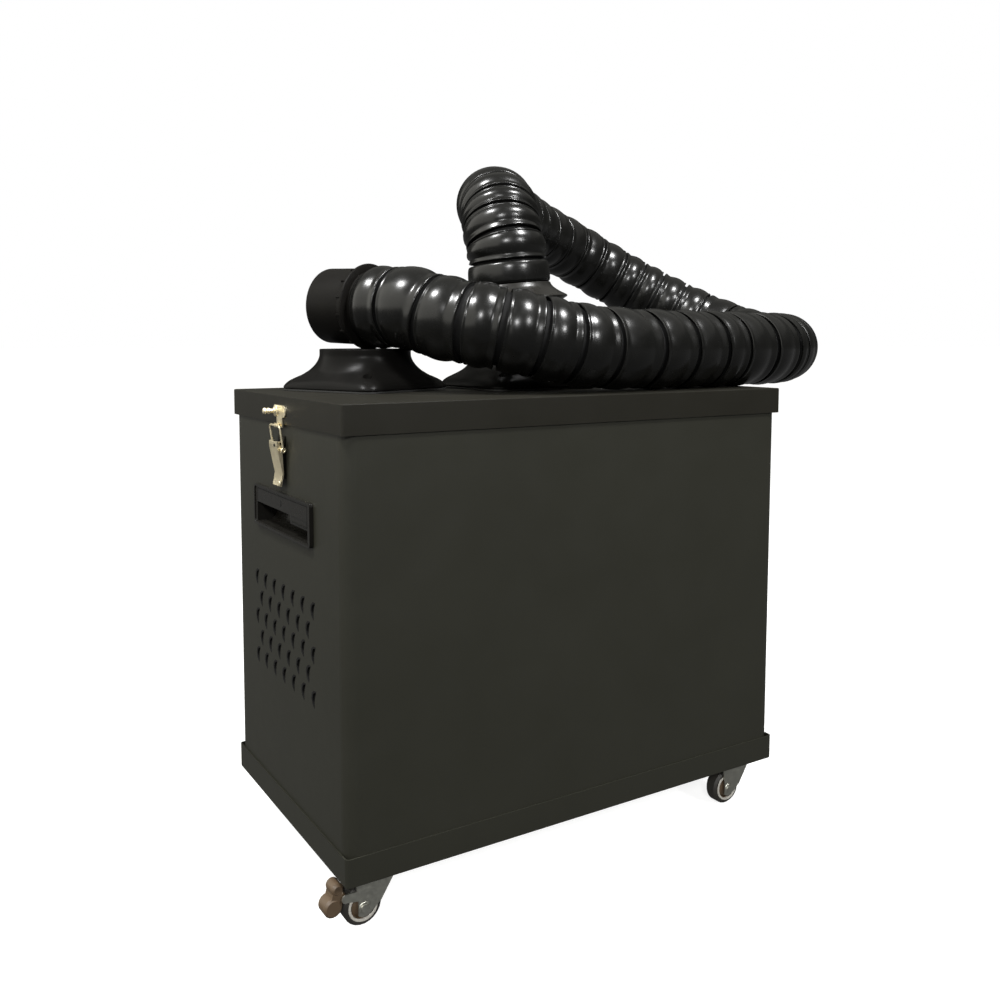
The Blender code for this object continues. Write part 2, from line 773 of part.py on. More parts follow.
def flange_section(flare):
    """Points round the flange, part way from the neck's circle, at 0, to the base's square, at 1."""
    half = FLANGE_SIDE / 2
    inset = half - FLANGE_CORNER
    points = []
    for i in range(FINE):
        angle = 2 * math.pi * i / FINE
        ray = Vector((math.cos(angle), math.sin(angle)))
        reach = half / max(abs(ray.x), abs(ray.y))
        spot = ray * reach
        if min(abs(spot.x), abs(spot.y)) > inset:
            corner = Vector((math.copysign(inset, ray.x), math.copysign(inset, ray.y)))
            along = ray.dot(corner)
            spot = ray * (along + math.sqrt(FLANGE_CORNER**2 - corner.length_squared + along**2))
        points.append(ray * NECK_RADIUS * (1 - flare) + spot * flare)
    return points


def make_flanges():
    """Two bells, square below and round above, each with a gasket under it."""
    low = LID_TOP + FIT + FLANGE_GASKET + FIT
    levels = [(1, low)]
    levels += [(flare, low + FLANGE_EDGE + rise * FLANGE_RISE) for flare, rise in reversed(FLARE_SHARES)]
    bm = bmesh.new()
    rings = [[bm.verts.new((p.x, p.y, z)) for p in flange_section(flare)] for flare, z in levels]
    for below, above in zip(rings, rings[1:]):
        for i in range(FINE):
            j = (i + 1) % FINE
            bm.faces.new((below[i], below[j], above[j], above[i]))
    bm.faces.new(rings[0][::-1])
    bm.faces.new(rings[-1])
    bell = from_bmesh("bell", bm)
    bell = cut(bell, rod("bore", BORE_RADIUS, low - OVERRUN, FLANGE_TOP + OVERRUN, steps=FINE))
    keep(smooth(bell), "inlet_flange_left", ABS_BLACK, LID, LEFT_FLANGE, (0, 0, LEFT_FLANGE_TURN))
    copy_of(bell, "inlet_flange_right", RIGHT_FLANGE, (0, 0, 0), LID)

    outline = rounded((0, 0), FLANGE_SIDE / 2, FLANGE_SIDE / 2, FLANGE_CORNER)
    seal = placed(flat("seal", outline, FLANGE_GASKET), (0, 0, LID_TOP + FIT + FLANGE_GASKET / 2))
    seal = cut(seal, rod("bore", BORE_RADIUS, LID_TOP - OVERRUN, low + OVERRUN, steps=FINE))
    keep(seal, "flange_gasket_left", RUBBER, LID, LEFT_FLANGE, (0, 0, LEFT_FLANGE_TURN))
    copy_of(seal, "flange_gasket_right", RIGHT_FLANGE, (0, 0, 0), LID)


def hose_line(samples=3000):
    """Points along the hose's middle line, with the length up to each.

    Both ends are straight, and between them a cubic spline goes through the route's places.
    """
    start, *places = [np.array(place) for place in (*HOSE_ROUTE, HOSE_END)]
    end = places.pop()
    places = np.array(places)
    chords = np.linalg.norm(np.diff(places, axis=0), axis=1)
    knots = np.concatenate([[0], np.cumsum(chords)])
    slopes = [places[0] - start, *np.diff(places, axis=0), end - places[-1]]
    slopes = np.array([slope / np.linalg.norm(slope) for slope in slopes])
    last = len(places) - 1
    matrix = np.zeros((last + 1, last + 1))
    for i, chord in enumerate(chords):
        matrix[i, i] += 2 * chord
        matrix[i + 1, i + 1] += 2 * chord
        matrix[i, i + 1] = matrix[i + 1, i] = chord
    bends = np.linalg.solve(matrix, 6 * np.diff(slopes, axis=0))
    along = np.linspace(0, knots[-1], samples)
    span = np.clip(np.searchsorted(knots, along, side="right") - 1, 0, last - 1)
    gap = chords[span]
    after = ((along - knots[span]) / gap)[:, None]
    before = 1 - after
    curve = before * places[span] + after * places[span + 1]
    bow = (before**3 - before) * bends[span] + (after**3 - after) * bends[span + 1]
    curve += bow * (gap**2)[:, None] / 6
    curve = np.concatenate([[start], curve, [end]])
    steps = np.linalg.norm(np.diff(curve, axis=0), axis=1)
    return curve, np.concatenate([[0], np.cumsum(steps)])


def along_hose(distances):
    """The places at distances along the hose from its lower end."""
    curve, lengths = hose_line()
    return np.stack([np.interp(distances, lengths, curve[:, k]) for k in range(3)], axis=1)


def hose_rings():
    """The distance along the hose and the radius of each ring: a plain seat in the coupling, a
    plain cuff above it, and then segments, each a groove, a lip, a waist and a bulged barrel."""
    _, lengths = hose_line()
    seat = COUPLING_LENGTH + FIT
    cuff_end = HOSE_GROOVES[0] - HOSE_GROOVE_WIDTH
    rings = [(0, HOSE_SEAT), (seat, HOSE_SEAT), (seat + FIT, HOSE_CUFF), (cuff_end, HOSE_CUFF)]
    for start, after in zip(HOSE_GROOVES, (*HOSE_GROOVES[1:], lengths[-1])):
        pitch = after - start
        rings.append((start, HOSE_GROOVE))
        rings.append((start + LIP_SHARE * pitch, HOSE_LIP))
        rings.append((start + WAIST_SHARE * pitch, HOSE_WAIST))
        rings.append((start + BARREL_SHARE * pitch, HOSE_CREST))
    rings.append((lengths[-1], HOSE_GROOVE))
    return rings


def make_coupling():
    """The coupling: a round body that grips the neck, and a skirt that leans with the hose in it."""
    low = FLANGE_TOP - COUPLING_GRIP
    body = rod("body", COUPLING_RADIUS, low, COUPLING_BODY_TOP, steps=FINE)
    start = Vector(HOSE_ROUTE[0]) - RIGHT_FLANGE
    lean = (Vector(HOSE_ROUTE[1]) - Vector(HOSE_ROUTE[0])).to_track_quat("Z", "Y").to_matrix().to_4x4()
    lean = Matrix.Translation(start) @ lean
    profile = [(0, COUPLING_LENGTH)]
    profile += [(radius, COUPLING_LENGTH - down) for radius, down in COUPLING_SKIRT]
    profile += [(COUPLING_STEM, COUPLING_STEM_LOW), (0, COUPLING_STEM_LOW)]
    skirt = turned("skirt", profile, FINE)
    seat = rod("seat", HOSE_SEAT + FIT, -FIT, COUPLING_LENGTH + OVERRUN, steps=FINE)
    for leaning in (skirt, seat):
        leaning.data.transform(lean)
    socket = rod("socket", NECK_RADIUS + FIT, low - OVERRUN, FLANGE_TOP + FIT, steps=FINE)
    bore = rod("bore", HOSE_BORE, FLANGE_TOP, start.z + HOSE_SEAT_TILT, steps=FINE)
    coupling = cut(joined(body, skirt), seat, socket, bore)
    keep(smooth(coupling), "hose_coupling", ABS_BLACK, LID, RIGHT_FLANGE)


def make_hose():
    """The ribbed hose, and the collar and cuff on its free end."""
    rings = hose_rings()
    route = along_hose([distance for distance, _ in rings])
    hose = wire("hose", route, HOSE_CREST, HOSE_SIDES, [radius for _, radius in rings])
    end = rings[-1][0]
    path = along_hose(np.linspace(0, end, round(end / BORE_STEP)))
    heading = Vector(path[-1] - path[-2]).normalized()
    lean = Vector(path[1] - path[0]).normalized()
    path = [path[0] - np.array(lean) * OVERRUN, *path[1:-1], path[-1] + np.array(heading) * OVERRUN]
    hose = cut(hose, wire("bore", path, HOSE_BORE, HOSE_SIDES))
    keep(smooth(hose), "hose", HOSE_PLASTIC, LID)

    turn = heading.to_track_quat("Z", "Y").to_matrix().to_4x4()
    collar_end = FIT + CUFF_COLLAR_LENGTH
    collar = [
        (CUFF_COLLAR_RADIUS, collar_end),
        (CUFF_COLLAR_RADIUS, FIT),
        (HOSE_BORE, FIT),
        (HOSE_BORE, collar_end),
    ]
    cuff_start = collar_end + FIT
    cuff_end = cuff_start + CUFF_LENGTH
    cuff = [
        (CUFF_RADIUS - CUFF_WALL, cuff_end),
        *arc((CUFF_RADIUS - CUFF_ROUND, cuff_end - CUFF_ROUND), CUFF_ROUND, math.pi / 2, 0, 2),
        (CUFF_RADIUS, cuff_start),
        (CUFF_RADIUS - CUFF_WALL, cuff_start),
    ]
    for name, profile in (("hose_collar", collar), ("hose_end_cuff", cuff)):
        piece = turned(name, profile, ROUND, ring=True)
        piece.data.transform(turn)
        keep(smooth(piece), name, ABS_BLACK, LID, HOSE_END)


def make_handles():
    """A grip let into each end: a rim, a plate over the upper half, and a finger pocket below."""
    middle = (0, (HANDLE_LOW_Z + HANDLE_TOP_Z) / 2)
    half = (HANDLE_WIDTH / 2, HANDLE_HEIGHT / 2)
    face = -WALL_X - FIT
    rim = end_plate("rim", rounded(middle, *half, HANDLE_EDGE), -WALL_X - HANDLE_PROUD, face)
    inside = [size - HANDLE_RIM for size in half]
    dish = rounded(middle, *inside, HANDLE_EDGE - HANDLE_RIM / 2)
    recess = end_plate("recess", dish, -WALL_X - HANDLE_PROUD - OVERRUN, -WALL_X - GRIP_THICKNESS)
    cup = upright_plate("cup", handle_cup_outline(HANDLE_WALL), -HANDLE_CUP_HALF, HANDLE_CUP_HALF)
    bridge = block(
        "bridge",
        (face - OVERRUN / 2, -HANDLE_CUP_HALF, HANDLE_LOW_Z + HANDLE_SILL - HANDLE_WALL),
        (-WALL_X + SHEET, HANDLE_CUP_HALF, GRIP_Z + HANDLE_WALL),
    )
    reach = HANDLE_CUP_HALF - HANDLE_WALL
    hollow = upright_plate("hollow", handle_cup_outline(0), -reach, reach)
    mouth = block(
        "mouth",
        (-WALL_X - HANDLE_PROUD - OVERRUN, -reach, HANDLE_LOW_Z + HANDLE_SILL),
        (-WALL_X + SHEET, reach, GRIP_Z),
    )
    ledge_start = -reach - HANDLE_WALL / 2
    ledge = block(
        "ledge",
        (-WALL_X - GRIP_THICKNESS + LEDGE_SET_BACK, ledge_start, GRIP_Z - LEDGE_HEIGHT),
        (face, ledge_start + LEDGE_WIDTH, GRIP_Z + HANDLE_WALL / 2),
    )
    handle = cut(cut(joined(rim, bridge, cup), recess), hollow, mouth)
    handle = joined(handle, ledge)
    keep(smooth(handle), "carry_handle_left", ABS_BLACK)
    copy_of(handle, "carry_handle_right", (0, 0, 0), (0, 0, math.pi))


def at_end(out, z):
    """X and Z of a point that stands out from the left end's wall."""
    return (-WALL_X - out, z)


def latch_base():
    """A plate on the wall with two ears and the lever's pin through them."""
    plate = block(
        "plate",
        (-WALL_X - FIT - LATCH_PLATE, -LATCH_PLATE_HALF, LATCH_PLATE_LOW_Z),
        (-WALL_X - FIT, LATCH_PLATE_HALF, LATCH_PLATE_TOP_Z),
    )
    pin_centre = at_end(PIVOT_OUT, PIVOT_Z)
    root = FIT + LATCH_PLATE / 2
    ear = arc(pin_centre, EAR_ROUND, math.radians(70), math.radians(240), 6)
    ear += [at_end(root, PIVOT_Z - EAR_FOOT), at_end(root, PIVOT_Z - EAR_ROUND)]
    ears = [
        upright_plate("ear", ear, -LATCH_PLATE_HALF, EAR - LATCH_PLATE_HALF),
        upright_plate("ear", ear, LATCH_PLATE_HALF - EAR, LATCH_PLATE_HALF),
    ]
    pin = rod("pin", PIVOT_PIN, -LEVER_HALF - FIT, LEVER_HALF + FIT, "Y", pin_centre)
    return joined(plate, *ears, pin)


def latch_lever():
    """A bent lever with a cheek on either side, bored for its pin and for the bail."""
    face = [
        at_end(LEVER_TOP_OUT, PIVOT_Z + LEVER_TOP_RISE),
        at_end(LEVER_TOP_OUT, PIVOT_Z - LEVER_SHOULDER),
        at_end(LEVER_BEND_OUT, LEVER_BEND_Z),
        at_end(LEVER_TAIL_OUT, LEVER_TAIL_Z),
    ]
    back = [(x + LEVER_SHEET, z) for x, z in face]
    sheet = upright_plate("lever", face + back[::-1], -LEVER_HALF, LEVER_HALF)
    cheek = [back[0], face[1], face[2], back[2]]
    cheek += arc(at_end(BAIL_PIVOT_OUT, BAIL_PIVOT_Z), CHEEK_ROUND, -math.pi / 2, 0, 3)
    cheek += arc(at_end(PIVOT_OUT, PIVOT_Z), CHEEK_ROUND, 0, math.pi / 2, 3)
    cheeks = [
        upright_plate("cheek", cheek, -LEVER_HALF, LEVER_SHEET - LEVER_HALF),
        upright_plate("cheek", cheek, LEVER_HALF - LEVER_SHEET, LEVER_HALF),
    ]
    reach = LEVER_HALF + OVERRUN
    bores = [
        rod("bore", PIVOT_PIN + FIT, -reach, reach, "Y", at_end(PIVOT_OUT, PIVOT_Z)),
        rod("bore", BAIL_WIRE + FIT, -reach, reach, "Y", at_end(BAIL_PIVOT_OUT, BAIL_PIVOT_Z)),
    ]
    return cut(joined(sheet, *cheeks), *bores)


def latch_bail():
    """The wire loop that pulls the lid down, its two ends in the lever's cheeks."""
    foot = Vector((-WALL_X - BAIL_PIVOT_OUT, 0, BAIL_PIVOT_Z))
    bar = Vector((-WALL_X - BAIL_BAR_OUT, 0, BAIL_BAR_Z))
    rise = (bar - foot).normalized()
    half = []
    for angle in (0, math.pi / 4, math.pi / 2):
        inward = BAIL_CORNER * (1 - math.cos(angle))
        half.append(bar - rise * BAIL_CORNER * (1 - math.sin(angle)) + Vector((0, BAIL_HALF - inward, 0)))
    half = [
        foot + Vector((0, LEVER_HALF - LEVER_SHEET + FIT, 0)),
        foot + Vector((0, BAIL_HALF - BAIL_WIRE, 0)),
        foot + Vector((0, BAIL_HALF, 0)) + rise * BAIL_WIRE,
        *half,
    ]
    other = [Vector((p.x, -p.y, p.z)) for p in reversed(half)]
    return wire("bail", half + other, BAIL_WIRE)


def latch_keeper():
    """A plate on the lid's skirt with a hooked tongue and a stud."""
    near = LENGTH / 2 - WALL_X + FIT
    far = near + KEEPER_SHEET
    outline = rounded((0, KEEPER_Z), KEEPER_HALF, KEEPER_ROUND, KEEPER_ROUND)
    plate = end_plate("keeper", outline, -WALL_X - far, -WALL_X - near)
    tongue = [
        at_end(near, HOOK_BOTTOM_Z),
        at_end(HOOK_OUT, HOOK_BOTTOM_Z),
        at_end(HOOK_OUT, HOOK_LIP_Z),
        at_end(HOOK_OUT - KEEPER_SHEET, HOOK_LIP_Z),
        at_end(HOOK_OUT - KEEPER_SHEET, HOOK_BOTTOM_Z + KEEPER_SHEET),
        at_end(far, HOOK_BOTTOM_Z + KEEPER_SHEET),
        at_end(far, KEEPER_Z),
        at_end(near, KEEPER_Z),
    ]
    tongue = upright_plate("tongue", tongue, -TONGUE_HALF, TONGUE_HALF)
    place = (KEEPER_STUD_Y, KEEPER_Z)
    stud = rod("stud", KEEPER_STUD, -WALL_X - KEEPER_STUD_OUT, -WALL_X - (near + far) / 2, "X", place)
    return joined(plate, tongue, stud)


def make_latches():
    """The same toggle latch and keeper on both ends."""
    lever_place = (-WALL_X - PIVOT_OUT, 0, PIVOT_Z)
    bail_place = (-WALL_X - BAIL_PIVOT_OUT, 0, BAIL_PIVOT_Z)
    base = keep(smooth(latch_base()), "latch_base_left", ZINC)
    lever = keep(smooth(hung(latch_lever(), lever_place)), "latch_lever_left", ZINC)
    bail = keep(smooth(hung(latch_bail(), bail_place)), "latch_bail_left", ZINC)
    keeper = keep(smooth(latch_keeper()), "latch_keeper_left", ZINC, LID)
    half_turn = (0, 0, math.pi)
    copy_of(base, "latch_base_right", (0, 0, 0), half_turn)
    copy_of(lever, "latch_lever_right", to_right_end(lever_place), half_turn)
    copy_of(bail, "latch_bail_right", to_right_end(bail_place), half_turn)
    copy_of(keeper, "latch_keeper_right", (0, 0, 0), half_turn, LID)


def caster_plate():
    """The plate under the tray, with the swivel's stud and the head that holds the fork up."""
    top = RIDE_HEIGHT - FIT
    half = Vector((CASTER_PLATE_LENGTH / 2, CASTER_PLATE_WIDTH / 2, 0))
    low, high = Vector((0, 0, top - CASTER_PLATE)), Vector((0, 0, top))
    plate = block("plate", low - half, high + half, CASTER_PLATE_CORNER, segments=2)
    head_top = CROWN_TOP - FORK_SHEET - FIT
    stud = turned(
        "stud",
        [
            (0, top - CASTER_PLATE / 2),
            (STUD_RADIUS, top - CASTER_PLATE / 2),
            (STUD_RADIUS, head_top),
            (STUD_HEAD, head_top),
            (STUD_HEAD, head_top - STUD_HEAD_HEIGHT),
            (0, head_top - STUD_HEAD_HEIGHT),
        ],
    )
    return joined(plate, stud)


def cheek_outline(braked):
    """The side of a fork in X and Z, round from its top front corner down to the axle and up again."""
    axle = (-TRAIL, WHEEL_RADIUS)
    left = axle[0] - FORK_FOOT_REAR
    points = [(FORK_FRONT, CROWN_TOP), FORK_KNEE]
    points += arc(axle, FORK_FOOT, math.radians(-40), -math.acos(-FORK_FOOT_REAR / FORK_FOOT), 5)
    if braked:
        points.append((left, NUB[1] - NUB_RADIUS - FORK_SHEET))
        points += arc(NUB, NUB_RADIUS, math.radians(-70), math.radians(-260), 6)
        points.append((left - FORK_SHEET, NUB[1] + NUB_RADIUS))
    else:
        points.append((left, WHEEL_RADIUS + FORK_FOOT_REAR))
    points.append((-FORK_REAR, CROWN_TOP - FORK_SHEET))
    points.append((-FORK_REAR, CROWN_TOP))
    return points


def caster_fork(braked):
    """A pressed fork: a crown with a raised ball race, and a cheek on either side of the wheel."""
    inside = WHEEL_WIDTH / 2 + FORK_GAP
    outside = inside + FORK_SHEET
    middle = inside + FORK_SHEET / 2
    low = (FIT - FORK_REAR, -middle, CROWN_TOP - FORK_SHEET)
    crown = block("crown", low, (FORK_FRONT - FIT, middle, CROWN_TOP - FIT))
    race_top = CROWN_TOP + RACE_HEIGHT
    race = turned(
        "race",
        [
            (0, race_top),
            (RACE_RADIUS - RACE_HEIGHT / 2, race_top),
            (RACE_RADIUS, race_top - RACE_HEIGHT / 2),
            (RACE_RADIUS, CROWN_TOP - FORK_SHEET / 2),
            (0, CROWN_TOP - FORK_SHEET / 2),
        ],
    )
    outline = cheek_outline(braked)
    cheeks = [upright_plate("cheek", outline, *sides) for sides in ((-outside, -inside), (inside, outside))]
    pieces = [race, *cheeks]
    if braked:
        pieces.append(rod("pin", PEDAL_PIN, -middle, middle, "Y", NUB))
    fork = joined(crown, *pieces)
    bores = [
        rod("bore", STUD_RADIUS + FIT, CROWN_TOP - FORK_SHEET - OVERRUN, race_top + OVERRUN, steps=COARSE),
        rod("bore", AXLE_RADIUS + FIT, -outside - OVERRUN, outside + OVERRUN, "Y", (-TRAIL, WHEEL_RADIUS)),
    ]
    return cut(fork, *bores)


def caster_tyre():
    """The tyre, with its shoulders rounded. The middle of one of its facets is on the floor."""
    half = WHEEL_WIDTH / 2
    centre = WHEEL_RADIUS / math.cos(math.pi / ROUND) - TYRE_SHOULDER
    profile = [(HUB_RADIUS + FIT, half)]
    profile += arc((centre, half - TYRE_SHOULDER), TYRE_SHOULDER, math.pi / 2, 0, 1)
    profile += arc((centre, TYRE_SHOULDER - half), TYRE_SHOULDER, 0, -math.pi / 2, 1)
    profile.append((HUB_RADIUS + FIT, -half))
    return placed(turned("tyre", profile, ROUND, ring=True), turn=(math.pi / 2, 0, math.pi / ROUND))


def caster_hub():
    """The hub, dished on both sides between its boss and its rim, with a bore for the axle."""
    half = HUB_WIDTH / 2
    profile = [
        (AXLE_RADIUS + FIT, half),
        (HUB_BOSS, half),
        (HUB_RADIUS - HUB_RIM, half - HUB_DISH),
        (HUB_RADIUS, half),
    ]
    profile += [(radius, -z) for radius, z in reversed(profile)]
    return placed(turned("hub", profile, COARSE, ring=True), turn=(math.pi / 2, 0, 0))


def caster_axle():
    """A bolt through fork and hub, with a low round head at each end."""
    inner = WHEEL_WIDTH / 2 + FORK_GAP + FORK_SHEET + FIT
    outer = inner + AXLE_HEAD_LENGTH
    profile = [
        (0, outer),
        (AXLE_HEAD - AXLE_HEAD_LENGTH / 2, outer),
        (AXLE_HEAD, inner),
        (AXLE_RADIUS, inner),
    ]
    profile += [(radius, -z) for radius, z in reversed(profile)]
    return placed(turned("axle", profile, SMALL), turn=(math.pi / 2, 0, 0))


def brake_pedal():
    """A two-lobed pedal on the nub's pin. It presses on the tyre when its lower lobe is trodden out."""
    low, top = PEDAL_LOW_LOBE, PEDAL_TOP_LOBE
    lobes = []
    for centre, radius in ((low, PEDAL_LOW_RADIUS), (top, PEDAL_TOP_RADIUS)):
        edge = PEDAL_HALF - PEDAL_ROUND
        profile = [(0, PEDAL_HALF), (radius - PEDAL_ROUND, PEDAL_HALF), (radius, edge)]
        profile += [(r, -z) for r, z in reversed(profile)]
        lobe = turned("lobe", profile, COARSE)
        lobes.append(placed(lobe, (centre[0], 0, centre[1]), (math.pi / 2, 0, 0)))
    neck = PEDAL_TOP_RADIUS - PEDAL_ROUND
    web = [
        (low[0] - neck, low[1]),
        (low[0] + PEDAL_LOW_RADIUS - PEDAL_ROUND, low[1]),
        (NUB[0], NUB[1] - PEDAL_KNUCKLE / 2),
        (NUB[0], NUB[1] + PEDAL_KNUCKLE / 2),
        (top[0] + neck, top[1]),
        (top[0] - neck, top[1]),
    ]
    edge = PEDAL_HALF - PEDAL_ROUND / 2
    web = upright_plate("web", web, -edge, edge)
    knuckle = rod("knuckle", PEDAL_KNUCKLE, -edge, edge, "Y", NUB)
    pedal = joined(lobes[0], lobes[1], web, knuckle)
    pedal = cut(pedal, rod("bore", PEDAL_PIN + FIT, -PEDAL_HALF - OVERRUN, PEDAL_HALF + OVERRUN, "Y", NUB))
    return hung(pedal, (NUB[0], 0, NUB[1]))


def make_casters():
    """Four swivel casters. The two on the left have brakes, and the rear two point the other way."""
    corners = {
        "front_left": (-CASTER_X, -CASTER_Y),
        "rear_left": (-CASTER_X, CASTER_Y),
        "front_right": (CASTER_X, -CASTER_Y),
        "rear_right": (CASTER_X, CASTER_Y),
    }
    axle_place = (-TRAIL, 0, WHEEL_RADIUS)
    first = {}

    def piece(kind, make, corner, material, parent, place):
        """The first caster's piece is made, and the others share its mesh."""
        name = f"{kind}_{corner}"
        if make not in first:
            first[make] = keep(smooth(make()), name, material, parent, place)
            return
        copy_of(first[make], name, place, parent=parent)

    def braked_fork():
        return caster_fork(True)

    def plain_fork():
        return caster_fork(False)

    for corner, (x, y) in corners.items():
        fixed = pivot(f"caster_seat_{corner}", (x, y, 0))
        swivel = pivot(f"caster_swivel_{corner}", (x, y, 0))
        if corner.startswith("rear"):
            swivel.rotation_euler.z = math.pi
        braked = corner.endswith("left")
        piece("caster_plate", caster_plate, corner, BRIGHT_ZINC, fixed, (0, 0, 0))
        piece("caster_fork", braked_fork if braked else plain_fork, corner, BRIGHT_ZINC, swivel, (0, 0, 0))
        piece("caster_axle", caster_axle, corner, BRIGHT_ZINC, swivel, axle_place)
        piece("caster_tyre", caster_tyre, corner, RUBBER, swivel, axle_place)
        piece("caster_hub", caster_hub, corner, BROWN_PLASTIC, swivel, axle_place)
        if braked:
            piece("brake_pedal", brake_pedal, corner, BROWN_PLASTIC, swivel, (NUB[0], 0, NUB[1]))


def make_filters():
    """The shelf, and on it the carbon filter, the fine filter and the pre-filter."""
    half = Vector((WALL_X - SHEET - FIT, WALL_Y - SHEET - FIT, 0))
    level = Vector((0, 0, SHELF_Z))
    up = Vector((0, 0, SHEET))
    shelf = block("shelf", level - up - half, level + half, SHELL_CORNER - SHEET - FIT)
    shelf = cut(shelf, rod("hole", INLET_RADIUS, SHELF_Z - SHEET - OVERRUN, SHELF_Z + OVERRUN, steps=COARSE))
    keep(shelf, "filter_shelf", GALVANISED)

    half = Vector((WALL_X - HANDLE_DEPTH - FILTER_END_GAP, WALL_Y - SHEET - FILTER_SIDE_GAP, 0))
    inner = half - Vector((FILTER_FRAME, FILTER_FRAME, 0))
    low = SHELF_Z
    stack = (
        ("carbon_filter", CARBON_HEIGHT, FOAM),
        ("hepa_filter", HEPA_HEIGHT, FILTER_PAPER),
        ("pre_filter", PREFILTER_HEIGHT, FILTER_PAPER),
    )
    for name, height, material in stack:
        low += FIT
        high = low + height
        case = block(name, Vector((0, 0, low)) - half, Vector((0, 0, high)) + half)
        recess = Vector((0, 0, high - FILTER_RECESS))
        dish = block("dish", recess - inner, Vector((0, 0, high + OVERRUN)) + inner)
        keep(cut(case, dish), name, material)
        low = high


def scroll_outline(wall):
    """The blower's spiral from its tongue round to its outlet, drawn in by the wall."""
    tongue = SCROLL_SMALL * math.sin(TONGUE_ANGLE) + wall
    start = math.pi - math.asin(tongue / (SCROLL_SMALL - wall))
    turns = np.linspace(start, OUTLET_ANGLE, SCROLL_STEPS)
    growth = (SCROLL_LARGE - SCROLL_SMALL) / (turns[-1] - turns[0])
    points = []
    for turn in turns:
        radius = SCROLL_SMALL - wall + growth * (turn - start)
        points.append((radius * math.cos(turn), radius * math.sin(turn)))
    over = OVERRUN if wall else 0
    return points + [(OUTLET_X - over, points[-1][1]), (OUTLET_X - over, tongue)]


def make_blower():
    """The scroll housing under the shelf, the fan wheel, the motor and the bracket under it."""
    high = SHELF_Z - SHEET - FIT
    low = high - SCROLL_HEIGHT
    middle = (low + high) / 2
    housing = placed(flat("housing", scroll_outline(0), SCROLL_HEIGHT), (0, 0, middle))
    inside = flat("inside", scroll_outline(SCROLL_WALL), SCROLL_HEIGHT - 2 * SCROLL_WALL)
    placed(inside, (0, 0, middle))
    inlet = rod("inlet", INLET_RADIUS, middle, high + OVERRUN, steps=COARSE)
    hole = rod("hole", SHAFT_HOLE, low - OVERRUN, middle)
    keep(cut(housing, inside, inlet, hole), "blower_housing", GALVANISED)

    plate_low = low + SCROLL_WALL + FAN_CLEARANCE
    plate_high = plate_low + FAN_PLATE
    profile = [
        (0, plate_low + FAN_HUB_HEIGHT),
        (FAN_HUB, plate_low + FAN_HUB_HEIGHT),
        (FAN_HUB, plate_high),
        (FAN_RADIUS, plate_high),
        (FAN_RADIUS, plate_low),
        (0, plate_low),
    ]
    wheel = turned("wheel", profile, COARSE)
    blades = []
    for i in range(FAN_BLADES):
        corner = Vector((FAN_HUB + FAN_PLATE, -FAN_BLADE / 2, plate_low + FAN_PLATE / 2))
        far = Vector((FAN_RADIUS - FAN_PLATE, FAN_BLADE / 2, plate_low + FAN_HEIGHT))
        blade = block("blade", corner, far)
        blades.append(placed(blade, turn=(0, 0, 2 * math.pi * i / FAN_BLADES)))
    wheel = joined(wheel, gathered("blades", blades))
    shaft_top = plate_low + SHAFT_DEPTH
    wheel = cut(wheel, rod("bore", SHAFT_RADIUS + FIT, plate_low - OVERRUN, shaft_top))
    keep(smooth(wheel), "impeller", GALVANISED)

    flange_top = low - FIT
    body_low = flange_top - MOTOR_HEIGHT
    profile = [
        (0, shaft_top - FIT),
        (SHAFT_RADIUS, shaft_top - FIT),
        (SHAFT_RADIUS, flange_top),
        (MOTOR_FLANGE_RADIUS, flange_top),
        (MOTOR_FLANGE_RADIUS, flange_top - MOTOR_FLANGE),
        (MOTOR_RADIUS, flange_top - MOTOR_FLANGE),
        (MOTOR_RADIUS, body_low),
        (0, body_low),
    ]
    keep(smooth(turned("motor", profile, COARSE)), "motor", MOTOR_GREY)

    floor = RIDE_HEIGHT + SHEET + FIT
    top = body_low - FIT
    side = MOTOR_RADIUS
    hat = [
        (-side - BRACKET_FOOT, floor),
        (BRACKET_SHEET - side, floor),
        (BRACKET_SHEET - side, top - BRACKET_SHEET),
        (side - BRACKET_SHEET, top - BRACKET_SHEET),
        (side - BRACKET_SHEET, floor),
        (side + BRACKET_FOOT, floor),
        (side + BRACKET_FOOT, floor + BRACKET_SHEET),
        (side, floor + BRACKET_SHEET),
        (side, top),
        (-side, top),
        (-side, floor + BRACKET_SHEET),
        (-side - BRACKET_FOOT, floor + BRACKET_SHEET),
    ]
    keep(upright_plate("bracket", hat, -side, side), "motor_bracket", GALVANISED)


